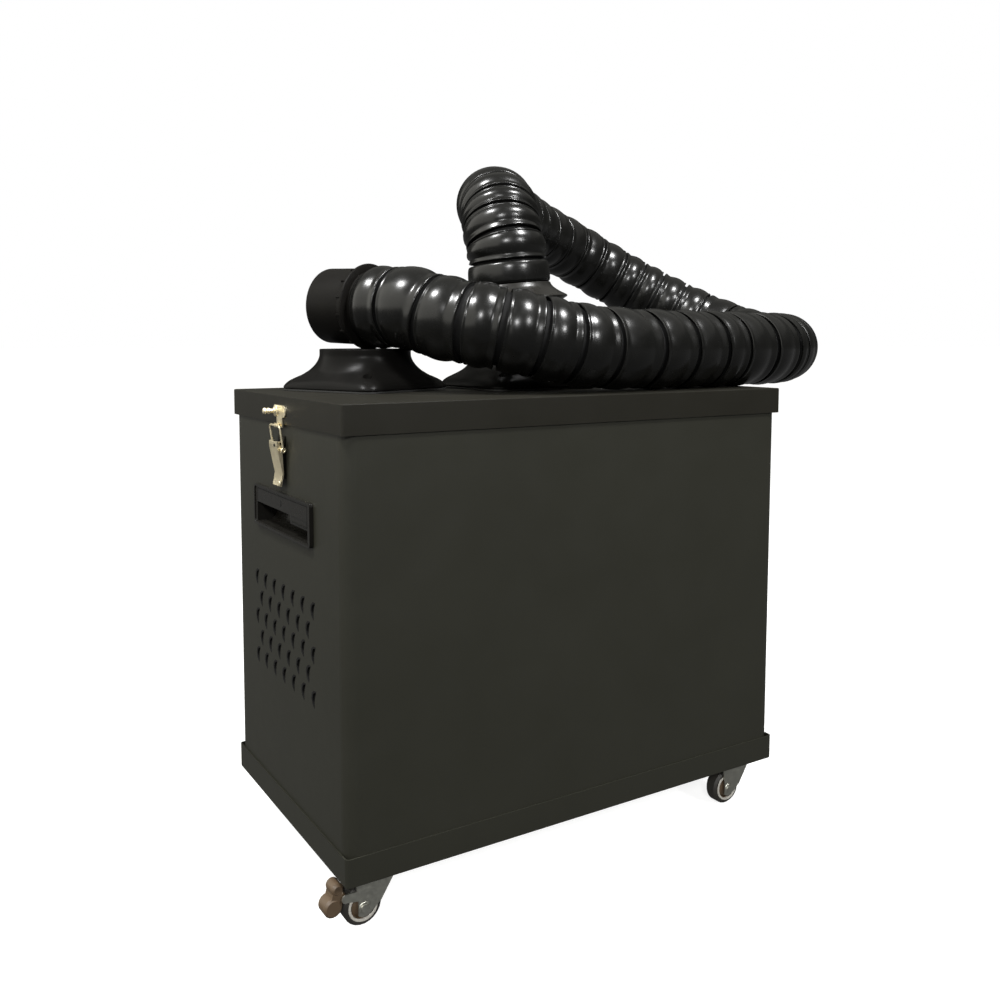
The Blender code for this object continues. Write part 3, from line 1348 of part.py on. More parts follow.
def make_switch():
    """A rocker in its housing, let into the right end. It rests with its lower half pressed in."""
    middle = (SWITCH_Y, PANEL_Z)
    half = (SWITCH_WIDTH / 2, SWITCH_HEIGHT / 2)
    front = WALL_X + FIT + SWITCH_BEZEL_PROUD
    back = WALL_X - SWITCH_DEPTH
    frame = rounded(middle, *[s + SWITCH_BEZEL for s in half], SWITCH_BEZEL)
    bezel = end_plate("bezel", frame, WALL_X + FIT, front)
    case = end_plate("case", rounded(middle, *half, SWITCH_WALL), back, WALL_X + 2 * FIT)
    well = [s - SWITCH_WALL for s in half]
    well = end_plate("well", rounded(middle, *well, SWITCH_WALL), back + SWITCH_WALL, front + OVERRUN)
    pin_place = (WALL_X, PANEL_Z)
    holes = rod("holes", ROCKER_PIN + FIT, SWITCH_Y - half[0] - FIT, SWITCH_Y + half[0] + FIT, "Y", pin_place)
    keep(cut(joined(bezel, case), well, holes), "switch_housing", ABS_BLACK)

    side = half[0] - SWITCH_WALL - FIT
    corner = half[1] - SWITCH_WALL - 2 * FIT
    proud = ROCKER_PROUD + ROCKER_PEAK
    tall = math.sqrt(corner**2 - proud**2)
    outline = [
        (proud, tall),
        (-ROCKER_DEPTH / 2, tall),
        (-ROCKER_DEPTH, tall / 2),
        (-ROCKER_DEPTH, -tall / 2),
        (-ROCKER_DEPTH / 2, -tall),
        (proud, -tall),
        (ROCKER_PROUD, 0),
    ]
    rocker = upright_plate("rocker", outline, -side, side)
    pin = rod("pin", ROCKER_PIN, -half[0] + FIT, half[0] - FIT, "Y", (0, 0))
    rocker = placed(joined(rocker, pin), turn=(0, ROCKER_TILT, 0))
    keep(smooth(rocker), "rocker_switch", ABS_BLACK, place=(WALL_X, SWITCH_Y, PANEL_Z))


def make_knob():
    """The speed knob with its shaft, and behind the wall the board with the control it turns."""
    profile = [
        (0, KNOB_HEIGHT),
        (KNOB_RADIUS - KNOB_SKIRT / 2, KNOB_HEIGHT),
        (KNOB_RADIUS - KNOB_SKIRT / 4, KNOB_HEIGHT - KNOB_SKIRT / 4),
        (KNOB_RADIUS, KNOB_SKIRT),
        (KNOB_RADIUS, KNOB_RISE),
        (KNOB_SHAFT, KNOB_RISE),
        (KNOB_SHAFT, FIT - BOARD_SET_BACK),
        (0, FIT - BOARD_SET_BACK),
    ]
    knob = placed(turned("knob", profile, COARSE), turn=(0, math.pi / 2, 0))
    keep(smooth(knob), "speed_knob", ABS_BLACK, place=(WALL_X, KNOB_Y, PANEL_Z))

    inner = WALL_X - SHEET - FIT
    face = WALL_X - BOARD_SET_BACK
    low = (face - BOARD_SHEET, KNOB_Y - BOARD_WIDTH / 2, PANEL_Z - BOARD_HEIGHT / 2)
    high = (face, KNOB_Y + BOARD_WIDTH / 2, PANEL_Z + BOARD_HEIGHT / 2)
    board = block("board", low, high)
    posts = []
    for y in (low[1] + POST_INSET, high[1] - POST_INSET):
        for z in (low[2] + POST_INSET, high[2] - POST_INSET):
            posts.append(rod("post", POST_RADIUS, face - BOARD_SHEET / 2, inner, "X", (y, z)))
    pot = rod("pot", POT_RADIUS, face - BOARD_SHEET / 2, face + POT_HEIGHT, "X", (KNOB_Y, PANEL_Z), COARSE)
    board = joined(board, gathered("posts", posts), pot)
    bore = rod("bore", KNOB_SHAFT + FIT, face, face + POT_HEIGHT + OVERRUN, "X", (KNOB_Y, PANEL_Z))
    keep(cut(board, bore), "control_board", BOARD_GREEN)


def make_electrics():
    """The power inlet low on the right end, and the power supply on the tray."""
    middle = (SOCKET_Y, SOCKET_Z)
    half = (SOCKET_WIDTH / 2, SOCKET_HEIGHT / 2)
    front = WALL_X + FIT + SOCKET_PROUD
    back = WALL_X - SOCKET_DEPTH
    frame = rounded(middle, *[s + SOCKET_BEZEL for s in half], SOCKET_BEZEL)
    bezel = end_plate("bezel", frame, WALL_X + FIT, front)
    case = end_plate("case", rounded(middle, *half, SOCKET_WALL), back, WALL_X + 2 * FIT)
    well = [s - SOCKET_WALL for s in half]
    well = end_plate("well", rounded(middle, *well, SOCKET_WALL), back + SOCKET_WALL, front + OVERRUN)
    pins = []
    for side in (-1, 0, 1):
        y = SOCKET_Y + side * SOCKET_WIDTH / 4
        low = Vector((back + SOCKET_WALL / 2, y - SOCKET_PIN_WIDTH / 2, SOCKET_Z - SOCKET_PIN_HEIGHT / 2))
        high = Vector((WALL_X - SOCKET_WALL, y + SOCKET_PIN_WIDTH / 2, SOCKET_Z + SOCKET_PIN_HEIGHT / 2))
        pins.append(block("pin", low, high))
    well = cut(well, gathered("pins", pins))
    keep(cut(joined(bezel, case), well), "power_inlet", ABS_BLACK)

    half = Vector((SUPPLY_SIZE.x / 2, SUPPLY_SIZE.y / 2, 0))
    low = SUPPLY_PLACE + Vector((0, 0, RIDE_HEIGHT + SHEET + FIT))
    supply = block("supply", low - half, low + half + Vector((0, 0, SUPPLY_SIZE.z)), SHEET)
    keep(supply, "power_supply", GALVANISED)


LID = pivot("lid_lift", (0, 0, 0))
make_cabinet()
make_flanges()
make_coupling()
make_hose()
make_handles()
make_latches()
make_casters()
make_filters()
make_blower()
make_switch()
make_knob()
make_electrics()
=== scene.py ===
"""Looks of a portable smoke purifier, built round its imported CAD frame.

Lengths are in metres in the frame's own axes: +X along the cabinet towards the end with the switch,
-Y out of its long front, +Z up from the floor.
"""

import logging
import math
from collections.abc import Iterable, Sequence
from dataclasses import dataclass, field
from enum import Enum

import bpy
import numpy as np
from mathutils import Matrix, Vector


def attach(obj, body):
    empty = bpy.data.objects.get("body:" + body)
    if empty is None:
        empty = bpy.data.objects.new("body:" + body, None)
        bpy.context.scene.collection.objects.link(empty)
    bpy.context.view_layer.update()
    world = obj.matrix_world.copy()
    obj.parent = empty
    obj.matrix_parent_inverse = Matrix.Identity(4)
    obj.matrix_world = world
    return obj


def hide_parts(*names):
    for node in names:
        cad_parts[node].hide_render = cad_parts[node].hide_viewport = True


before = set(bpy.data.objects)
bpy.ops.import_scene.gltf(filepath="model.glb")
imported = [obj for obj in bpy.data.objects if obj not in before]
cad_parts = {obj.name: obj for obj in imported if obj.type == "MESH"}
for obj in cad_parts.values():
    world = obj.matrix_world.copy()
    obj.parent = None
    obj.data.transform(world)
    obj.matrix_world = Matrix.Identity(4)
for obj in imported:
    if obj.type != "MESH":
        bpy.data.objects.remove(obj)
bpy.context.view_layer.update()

LOG = logging.getLogger("smoke_purifier")
MM = 0.001
# The short ends' outer faces, the two inlets' places on the lid, and the left inlet's turn.
WALL_X = 0.2732
LEFT_INLET = (-0.153, 0.060)
LEFT_INLET_TURN = math.radians(22)
RIGHT_INLET = (0.019, 0.015)
# The gap between pieces that fit into each other, and how deep a piece sinks into what carries it.
FIT = 0.0003
SINK = 0.0001
# Edges that bend more than this are shaded as creases: on the script's own pieces, the hose and the CAD's.
PIECE_CREASE = math.radians(40)
HOSE_CREASE = math.radians(50)
CAD_CREASE = math.radians(36)

Point = tuple[float, float, float]
Profile = Sequence[tuple[float, float]]
Mesh = tuple[list, list]


def linear(colour: str) -> tuple[float, float, float, float]:
    """Turn an sRGB hex colour into linear light.

    Args:
        colour: six hex digits, such as "2a2a25".

    Returns:
        Red, green and blue as linear light, and an alpha of one.
    """
    shares = [int(colour[i : i + 2], 16) / 255 for i in (0, 2, 4)]
    return (*(s / 12.92 if s <= 0.04045 else ((s + 0.055) / 1.055) ** 2.4 for s in shares), 1.0)


def add_node(
    tree: bpy.types.NodeTree, kind: str, inputs: dict[str | int, object] | None = None, **settings: object
) -> bpy.types.Node:
    """Add a node with its settings, its values and its links.

    Args:
        tree: the node tree that takes it.
        kind: the node's type, such as "ShaderNodeMix".
        inputs: what goes into each socket, by name or number: a value, or another node's output.
        settings: the node's own properties.

    Returns:
        The new node.
    """
    node = tree.nodes.new(kind)
    for name, value in settings.items():
        setattr(node, name, value)
    for socket, value in (inputs or {}).items():
        if isinstance(value, bpy.types.NodeSocket):
            tree.links.new(value, node.inputs[socket])
        else:
            node.inputs[socket].default_value = value
    return node


@dataclass(frozen=True)
class Finish:
    """A surface: its material's colours, its gloss and the texture that its making leaves.

    Sizes of patterns are real ones, in millimetres.
    """

    name: str
    colour: str
    tone: str
    roughness: float
    spread: float = 0.05
    metallic: float = 0.0
    ior: float = 1.5
    specular: float = 0.5
    mottle_mm: float = 40.0
    grain_mm: float = 1.0
    grain_depth_mm: float = 0.01

    def material(self) -> bpy.types.Material:
        """Make the finish's material, once, and share it.

        Returns:
            The material.
        """
        found = bpy.data.materials.get(self.name)
        if found:
            return found
        material = bpy.data.materials.new(self.name)
        material.use_nodes = True
        material.diffuse_color = linear(self.colour)
        tree = material.node_tree
        shader = tree.nodes["Principled BSDF"]
        shader.inputs["Metallic"].default_value = self.metallic
        if not self.metallic:
            shader.inputs["IOR"].default_value = self.ior
        shader.inputs["Specular IOR Level"].default_value = self.specular
        self.texture(tree, shader, add_node(tree, "ShaderNodeTexCoord").outputs["Object"])
        return material

    def noise(
        self, tree: bpy.types.NodeTree, place: bpy.types.NodeSocket, size_mm: float, detail: float = 3.0
    ) -> bpy.types.NodeSocket:
        """Soft random spots.

        Args:
            tree: the material's nodes.
            place: the position on the surface, in metres.
            size_mm: the usual width of a spot.
            detail: how many finer layers lie on it.

        Returns:
            A value from zero to one.
        """
        inputs = {"Vector": place, "Scale": 1 / (size_mm * MM), "Detail": detail, "Roughness": 0.55}
        return add_node(tree, "ShaderNodeTexNoise", inputs).outputs["Fac"]

    def texture(self, tree: bpy.types.NodeTree, shader: bpy.types.Node, place: bpy.types.NodeSocket) -> None:
        """Lay the mottled colour, the uneven gloss and the grain on the shader.

        Args:
            tree: the material's nodes.
            shader: the Principled shader.
            place: the position on the surface, in metres.
        """
        self.colouring(tree, shader, self.noise(tree, place, self.mottle_mm))
        self.gloss(tree, shader, self.noise(tree, place, self.mottle_mm / 3))
        self.relief(tree, shader, self.noise(tree, place, self.grain_mm, 2.0), self.grain_depth_mm)

    def colouring(
        self, tree: bpy.types.NodeTree, shader: bpy.types.Node, share: bpy.types.NodeSocket
    ) -> None:
        """Mix the two colours by a pattern's value.

        Args:
            tree: the material's nodes.
            shader: the Principled shader.
            share: the pattern, from zero to one.
        """
        inputs = {0: share, 6: linear(self.colour), 7: linear(self.tone)}
        mix = add_node(tree, "ShaderNodeMix", inputs, data_type="RGBA")
        tree.links.new(mix.outputs[2], shader.inputs["Base Color"])

    def gloss(self, tree: bpy.types.NodeTree, shader: bpy.types.Node, share: bpy.types.NodeSocket) -> None:
        """Let the roughness wander round its middle by a pattern's value.

        Args:
            tree: the material's nodes.
            shader: the Principled shader.
            share: the pattern, from zero to one, whose middle part counts.
        """
        low, high = self.roughness - self.spread, self.roughness + self.spread
        rough = add_node(tree, "ShaderNodeMapRange", {0: share, 1: 0.3, 2: 0.7, 3: low, 4: high})
        tree.links.new(rough.outputs[0], shader.inputs["Roughness"])

    def relief(
        self,
        tree: bpy.types.NodeTree,
        shader: bpy.types.Node,
        height: bpy.types.NodeSocket,
        depth_mm: float,
        below: bpy.types.NodeSocket | None = None,
    ) -> bpy.types.NodeSocket:
        """Raise the surface by a pattern.

        Args:
            tree: the material's nodes.
            shader: the Principled shader.
            height: the pattern, from zero to one.
            depth_mm: how deep it is.
            below: the normal of a relief that this one lies on.

        Returns:
            The new normal.
        """
        inputs: dict[str | int, object] = {"Height": height, "Distance": depth_mm * MM, "Strength": 1.0}
        if below:
            inputs["Normal"] = below
        normal = add_node(tree, "ShaderNodeBump", inputs).outputs["Normal"]
        tree.links.new(normal, shader.inputs["Normal"])
        return normal


@dataclass(frozen=True)
class PleatedPaper(Finish):
    """Folded filter paper: rows of sharp pleats across the filter."""

    pleat_mm: float = 5.0

    def texture(self, tree: bpy.types.NodeTree, shader: bpy.types.Node, place: bpy.types.NodeSocket) -> None:
        """Lay pleats over the paper's fibres, with painted shade down in each fold.

        Args:
            tree: the material's nodes.
            shader: the Principled shader.
            place: the position on the surface, in metres.
        """
        inputs = {"Vector": place, "Scale": math.pi / 10 / (self.pleat_mm * MM)}
        waves = add_node(tree, "ShaderNodeTexWave", inputs, wave_profile="TRI", bands_direction="X")
        pleats = waves.outputs["Fac"]
        # The pleats' low parts take the darker colour: painted shade in the folds.
        self.colouring(tree, shader, pleats)
        fibres = self.noise(tree, place, self.grain_mm)
        self.gloss(tree, shader, fibres)
        normal = self.relief(tree, shader, fibres, self.grain_depth_mm)
        self.relief(tree, shader, pleats, self.pleat_mm / 2, normal)


@dataclass(frozen=True)
class CellularSurface(Finish):
    """A surface of cells: open foam, or the crystals of hot-dipped zinc."""

    cell_mm: float = 3.0
    cell_depth_mm: float = 0.5

    def texture(self, tree: bpy.types.NodeTree, shader: bpy.types.Node, place: bpy.types.NodeSocket) -> None:
        """Give each cell its own shade, gloss and height.

        Args:
            tree: the material's nodes.
            shader: the Principled shader.
            place: the position on the surface, in metres.
        """
        cells = add_node(tree, "ShaderNodeTexVoronoi", {"Vector": place, "Scale": 1 / (self.cell_mm * MM)})
        shade = add_node(tree, "ShaderNodeSeparateColor", {0: cells.outputs["Color"]}).outputs[0]
        self.colouring(tree, shader, shade)
        self.gloss(tree, shader, shade)
        self.relief(tree, shader, cells.outputs["Distance"], self.cell_depth_mm)


# Polyester powder coat on mild-steel sheet, sprayed and baked: an even satin black with a warm cast. Its
# orange peel of about 1 mm is too fine to show, so it is drawn a little coarser.
POWDER_COAT = Finish(
    "powder_coated_steel", "1f1f19", "24241e", 0.42, spread=0.03, ior=1.5, specular=0.3, mottle_mm=120,
    grain_mm=1.6, grain_depth_mm=0.02,
)
# The walls' coat on the lid, darker and with less specular: painted shade that keeps the lid's sides and
# front darker than the walls.
SHADED_LID_COAT = Finish(
    "powder_coated_lid_painted_shade", "171611", "1b1a15", 0.44, spread=0.03, ior=1.5, specular=0.2, mottle_mm=120,
    grain_mm=1.6, grain_depth_mm=0.02,
)
# ABS, injection moulded in a lightly spark-eroded mould: the flanges' soft satin black.
SATIN_ABS = Finish(
    "satin_black_abs", "0b0b0a", "0f0e0d", 0.34, spread=0.04, ior=1.53, specular=0.05, mottle_mm=30,
    grain_mm=1.1, grain_depth_mm=0.015,
)
# Steel under bright zinc plate, cold headed: screw heads, smoother than the pressed parts.
SCREW_ZINC = Finish(
    "cold_headed_zinc_screw", "f0f0ec", "d8d8d2", 0.24, spread=0.05, metallic=1.0, mottle_mm=3,
    grain_mm=0.5, grain_depth_mm=0.004,
)
# ABS, injection moulded in a polished mould: a satin black with faint flow marks.
MOULDED_ABS = Finish(
    "moulded_black_abs", "141311", "191815", 0.30, ior=1.53, specular=0.3, mottle_mm=30, grain_mm=1.2,
    grain_depth_mm=0.008,
)
# Thermoplastic elastomer, blow moulded: nearly black and glossy, its skin a little uneven, which breaks
# each lamp's reflection into a soft-edged spot.
HOSE_ELASTOMER = Finish(
    "glossy_hose_elastomer", "0b0b0a", "10100f", 0.25, spread=0.03, ior=1.52, specular=0.3,
    mottle_mm=25, grain_mm=1.5, grain_depth_mm=0.005,
)
# Polypropylene, turned and moulded: the hose's end fitting, dull beside the hose.
END_POLYPROPYLENE = Finish(
    "satin_black_polypropylene", "0d0c0b", "11100e", 0.46, ior=1.49, specular=0.06, mottle_mm=22,
    grain_mm=1.0, grain_depth_mm=0.012,
)
# EPDM foam rubber, cut from sheet: matt and slightly pitted.
GASKET_RUBBER = Finish(
    "cut_epdm_rubber", "10100f", "191917", 0.80, ior=1.5, mottle_mm=8, grain_mm=0.9,
    grain_depth_mm=0.06,
)
# Thermoplastic rubber tyre, moulded: matt black, dusty where it rolls.
TYRE_RUBBER = Finish(
    "moulded_tyre_rubber", "191815", "2b2823", 0.62, ior=1.5, mottle_mm=9, grain_mm=0.8,
    grain_depth_mm=0.03,
)
# Zinc plate with a yellow chromate passivation on pressed steel: a pale straw metal with a soft sheen.
YELLOW_ZINC = Finish(
    "yellow_passivated_zinc", "f0e6ca", "d9ceae", 0.46, spread=0.08, metallic=1.0, mottle_mm=6,
    grain_mm=0.7, grain_depth_mm=0.01,
)
# Zinc plate on pressed steel, made near black for the latch's base: painted shade, where the base lies in
# the lever's shade.
SHADED_LATCH_ZINC = Finish(
    "latch_zinc_painted_shade", "2c2b27", "1f1e1b", 0.42, spread=0.06, metallic=1.0, mottle_mm=6,
    grain_mm=0.7, grain_depth_mm=0.01,
)
# Painted shade: a near-black matt elastomer for where shade falls, in the hose's necks, inside its cups and
# bore, in the air slots, in the lever's hole and along the grip plate's grooves. The grip's oval mark is
# drawn in it too.
SHADE_BLACK = Finish(
    "painted_shade_black", "050505", "080808", 0.75, ior=1.52, specular=0.2, mottle_mm=12, grain_mm=0.9,
    grain_depth_mm=0.02,
)
# Bright zinc plate on pressed steel: a pale grey metal, a little cloudy.
BRIGHT_ZINC = Finish(
    "bright_zinc_plate", "c4c4ba", "a3a39a", 0.44, spread=0.08, metallic=1.0, mottle_mm=7,
    grain_mm=0.7, grain_depth_mm=0.012,
)
# Nylon, injection moulded in brown: satin, with a faint sparkle of filler.
BROWN_NYLON = Finish(
    "moulded_brown_nylon", "564635", "493b2a", 0.48, ior=1.53, mottle_mm=10, grain_mm=0.8,
    grain_depth_mm=0.02,
)
# Polypropylene, moulded in light grey: the ring between tyre and hub.
GREY_POLYPROPYLENE = Finish(
    "moulded_grey_polypropylene", "b4b1a9", "a29f97", 0.42, ior=1.49, mottle_mm=8, grain_mm=0.8,
    grain_depth_mm=0.01,
)
# Hot-dip galvanised sheet: spangles about 9 mm across, each with its own shade of grey.
GALVANISED = CellularSurface(
    "galvanised_sheet", "b9bcbc", "94989a", 0.38, spread=0.1, metallic=1.0, cell_mm=9,
    cell_depth_mm=0.02,
)
# Polyurethane foam loaded with carbon: dark grey, with open pores of 2.5 mm.
CARBON_FOAM = CellularSurface(
    "carbon_foam", "2b2c2e", "45464a", 0.92, cell_mm=2.5, cell_depth_mm=1.2
)
# Glass-fibre paper, folded: off-white and matt, in pleats 5 mm apart, with its darker colour painted as
# shade in the folds.
FILTER_PAPER = PleatedPaper(
    "pleated_filter_paper", "cfcdc2", "f1efe6", 0.88, ior=1.5, grain_mm=0.8, grain_depth_mm=0.05
)
# Aluminium, die cast: pale grey, with the mould's fine roughness.
CAST_ALUMINIUM = Finish(
    "die_cast_aluminium", "a9abad", "8f9193", 0.5, spread=0.08, metallic=1.0, mottle_mm=14,
    grain_mm=0.9, grain_depth_mm=0.05,
)
# Glass-epoxy board under green solder resist: glossy green, with the copper's tracks faint beneath.
SOLDER_RESIST = CellularSurface(
    "green_solder_resist", "17452b", "235f3b", 0.30, spread=0.04, cell_mm=4, cell_depth_mm=0.05
)
# White pad-printing ink on the control end's marks.
PRINTING_INK = Finish(
    "white_printing_ink", "dcdcd6", "cfcfc9", 0.55, mottle_mm=3, grain_mm=0.5, grain_depth_mm=0.005
)


NODE_FINISHES: dict[str, Finish] = {
    "base_tray": POWDER_COAT,
    "cabinet_shell": POWDER_COAT,
    # The lid's darker copy of the coat is painted shade.
    "lid": SHADED_LID_COAT,
    "lid_gasket": GASKET_RUBBER,
    "flange_gasket": GASKET_RUBBER,
    "carry_handle": MOULDED_ABS,
    "latch": YELLOW_ZINC,
    # The latch base's near-black zinc is painted shade.
    "latch_base": SHADED_LATCH_ZINC,
    "caster_plate": BRIGHT_ZINC,
    "caster_fork": BRIGHT_ZINC,
    "caster_axle": BRIGHT_ZINC,
    "caster_tyre": TYRE_RUBBER,
    "caster_hub": BROWN_NYLON,
    "brake_pedal": BROWN_NYLON,
    "filter_shelf": GALVANISED,
    "carbon_filter": CARBON_FOAM,
    "hepa_filter": FILTER_PAPER,
    "pre_filter": FILTER_PAPER,
    "blower_housing": GALVANISED,
    "impeller": GALVANISED,
    "motor_bracket": GALVANISED,
    "motor": CAST_ALUMINIUM,
    "switch_housing": MOULDED_ABS,
    "rocker_switch": MOULDED_ABS,
    "speed_knob": MOULDED_ABS,
    "control_board": SOLDER_RESIST,
    "power_inlet": MOULDED_ABS,
    "power_supply": GALVANISED,
}


def piece(
    name: str,
    points: Iterable[Sequence[float]],
    faces: Iterable[Sequence[int]],
    finish: Finish,
    sharp: float = PIECE_CREASE,
) -> bpy.types.Object:
    """Make a mesh object from points and faces.

    Args:
        name: the piece's name.
        points: the corners.
        faces: the corners' numbers, face by face.
        finish: its surface.
        sharp: the angle above which an edge is shaded as a crease.

    Returns:
        The object, in the scene's collection.
    """
    mesh = bpy.data.meshes.new(name)
    mesh.from_pydata([tuple(p) for p in points], [], [tuple(f) for f in faces])
    mesh.update()
    mesh.polygons.foreach_set("use_smooth", [True] * len(mesh.polygons))
    mesh.set_sharp_from_angle(angle=sharp)
    mesh.materials.append(finish.material())
    made = bpy.data.objects.new(name, mesh)
    bpy.context.scene.collection.objects.link(made)
    return made


def lofted(rings: Sequence[Sequence[Sequence[float]]], closed: bool = False) -> Mesh:
    """Join rings of equally many points by quads.

    Args:
        rings: the rings, in order.
        closed: whether the last ring joins the first; otherwise each end gets a flat cap.

    Returns:
        The points and the faces.
    """
    count = len(rings[0])
    points = [tuple(p) for ring in rings for p in ring]
    faces = []
    for i in range(len(rings) if closed else len(rings) - 1):
        a, b = i * count, (i + 1) % len(rings) * count
        faces += [(a + k, a + (k + 1) % count, b + (k + 1) % count, b + k) for k in range(count)]
    if not closed:
        faces += [tuple(range(count))[::-1], tuple(range(len(points) - count, len(points)))]
    return points, faces


def circle(radius: float, z: float, sides: int) -> list[Point]:
    """A ring of points round Z, at a height."""
    angles = [2 * math.pi * k / sides for k in range(sides)]
    return [(radius * math.cos(a), radius * math.sin(a), z) for a in angles]


def turned(profile: Profile, sides: int = 64, closed: bool = False) -> Mesh:
    """Turn a profile of (radius, height) about Z.

    Args:
        profile: the outline; a ring-shaped body gives its whole outline and is closed.
        sides: how many sides the circle has.
        closed: whether the outline ends where it starts.

    Returns:
        The points and the faces.
    """
    return lofted([circle(radius, z, sides) for radius, z in profile], closed)


def bent(centre: tuple[float, float], radius: float, start: float, end: float, steps: int) -> list:
    """Points along an arc, both ends included, with its angles in degrees."""
    angles = [math.radians(start + (end - start) * i / steps) for i in range(steps + 1)]
    return [(centre[0] + radius * math.cos(a), centre[1] + radius * math.sin(a)) for a in angles]


def moved(points: Iterable[Sequence[float]], matrix: Matrix) -> list[Vector]:
    """The points, carried by a matrix."""
    return [matrix @ Vector(p) for p in points]


def merged(parts: Iterable[Mesh]) -> Mesh:
    """Put several bodies into one.

    Args:
        parts: each body's points and faces.

    Returns:
        All points and all faces.
    """
    points: list = []
    faces: list = []
    for more, theirs in parts:
        start = len(points)
        points += list(more)
        faces += [tuple(start + k for k in f) for f in theirs]
    return points, faces


def copied(mesh: Mesh, *seats: Matrix) -> Mesh:
    """Put a body at each seat.

    Args:
        mesh: its points and faces.
        seats: the matrices that carry it there.

    Returns:
        The points and the faces of all.
    """
    points, faces = mesh
    return merged((moved(points, seat), faces) for seat in seats)


def carve(made: bpy.types.Object, points: Iterable[Sequence[float]], faces: Iterable[Sequence[int]]) -> None:
    """Cut a body out of a piece.

    Args:
        made: the piece, a closed body.
        points: the cutting body's corners.
        faces: its faces.
    """
    mesh = bpy.data.meshes.new("cutter")
    mesh.from_pydata([tuple(p) for p in points], [], [tuple(f) for f in faces])
    cutter = bpy.data.objects.new("cutter", mesh)
    bpy.context.scene.collection.objects.link(cutter)
    modifier = made.modifiers.new("carve", "BOOLEAN")
    modifier.operation = "DIFFERENCE"
    modifier.solver = "EXACT"
    modifier.object = cutter
    whole = bpy.data.meshes.new_from_object(made.evaluated_get(bpy.context.evaluated_depsgraph_get()))
    made.modifiers.remove(modifier)
    old, made.data = made.data, whole
    whole.name = made.name
    whole.polygons.foreach_set("use_smooth", [True] * len(whole.polygons))
    whole.set_sharp_from_angle(angle=PIECE_CREASE)
    bpy.data.meshes.remove(old)
    bpy.data.objects.remove(cutter)
    bpy.data.meshes.remove(mesh)


def facing(direction: Sequence[float], place: Sequence[float]) -> Matrix:
    """The matrix that turns +Z to a direction and puts the origin at a place."""
    turn = Vector(direction).to_track_quat("Z", "Y").to_matrix().to_4x4()
    return Matrix.Translation(Vector(place)) @ turn


def set_piece(made: bpy.types.Object, body: str, slot: str, *nodes: str) -> bpy.types.Object:
    """Let a piece ride on a body, hide the CAD nodes that it stands for, and log it.

    Args:
        made: the piece.
        body: the CAD body that carries it.
        slot: the record's material slot; not used.
        nodes: CAD nodes that it replaces.

    Returns:
        The piece.
    """
    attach(made, body)
    if nodes:
        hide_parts(*nodes)
    LOG.info("%s rides on %s, %d faces", made.name, body, len(made.data.polygons))
    return made


def soft_shading() -> bpy.types.NodeTree:
    """Make, once, the modifier's nodes that shade curved CAD faces smoothly and leave their shape alone.

    Returns:
        The node group.
    """
    found = bpy.data.node_groups.get("soft_shading")
    if found:
        return found
    tree = bpy.data.node_groups.new("soft_shading", "GeometryNodeTree")
    tree.interface.new_socket("Geometry", in_out="INPUT", socket_type="NodeSocketGeometry")
    tree.interface.new_socket("Geometry", in_out="OUTPUT", socket_type="NodeSocketGeometry")
    source = add_node(tree, "NodeGroupInput").outputs[0]
    plain = add_node(tree, "GeometryNodeRemoveAttribute", {0: source, "Name": "custom_normal"}).outputs[0]
    whole = add_node(tree, "GeometryNodeMergeByDistance", {0: plain, "Distance": 0.000001}).outputs[0]
    smooth = add_node(tree, "GeometryNodeSetShadeSmooth", {0: whole, "Shade Smooth": True}).outputs[0]
    angle = add_node(tree, "GeometryNodeInputMeshEdgeAngle").outputs[0]
    inputs = {0: angle, 1: CAD_CREASE}
    crease = add_node(tree, "FunctionNodeCompare", inputs, data_type="FLOAT", operation="GREATER_THAN")
    inputs = {0: smooth, "Selection": crease.outputs[0], "Shade Smooth": False}
    creased = add_node(tree, "GeometryNodeSetShadeSmooth", inputs, domain="EDGE").outputs[0]
    add_node(tree, "NodeGroupOutput", {0: creased})
    return tree


def dress_nodes() -> None:
    """Give every CAD node that shows its finish and smooth shading."""
    for name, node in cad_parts.items():
        matches = [key for key in NODE_FINISHES if name.startswith(key)]
        if not matches or node.hide_render:
            continue
        material = NODE_FINISHES[max(matches, key=len)].material()
        if not node.material_slots:
            node.data.materials.append(material)
        for slot in node.material_slots:
            slot.material = material
        node.modifiers.new("soft_shading", "NODES").node_group = soft_shading()
        weights = node.modifiers.new("flat_faces", "WEIGHTED_NORMAL")
        weights.keep_sharp = True
        LOG.info("%s: %s", name, material.name)


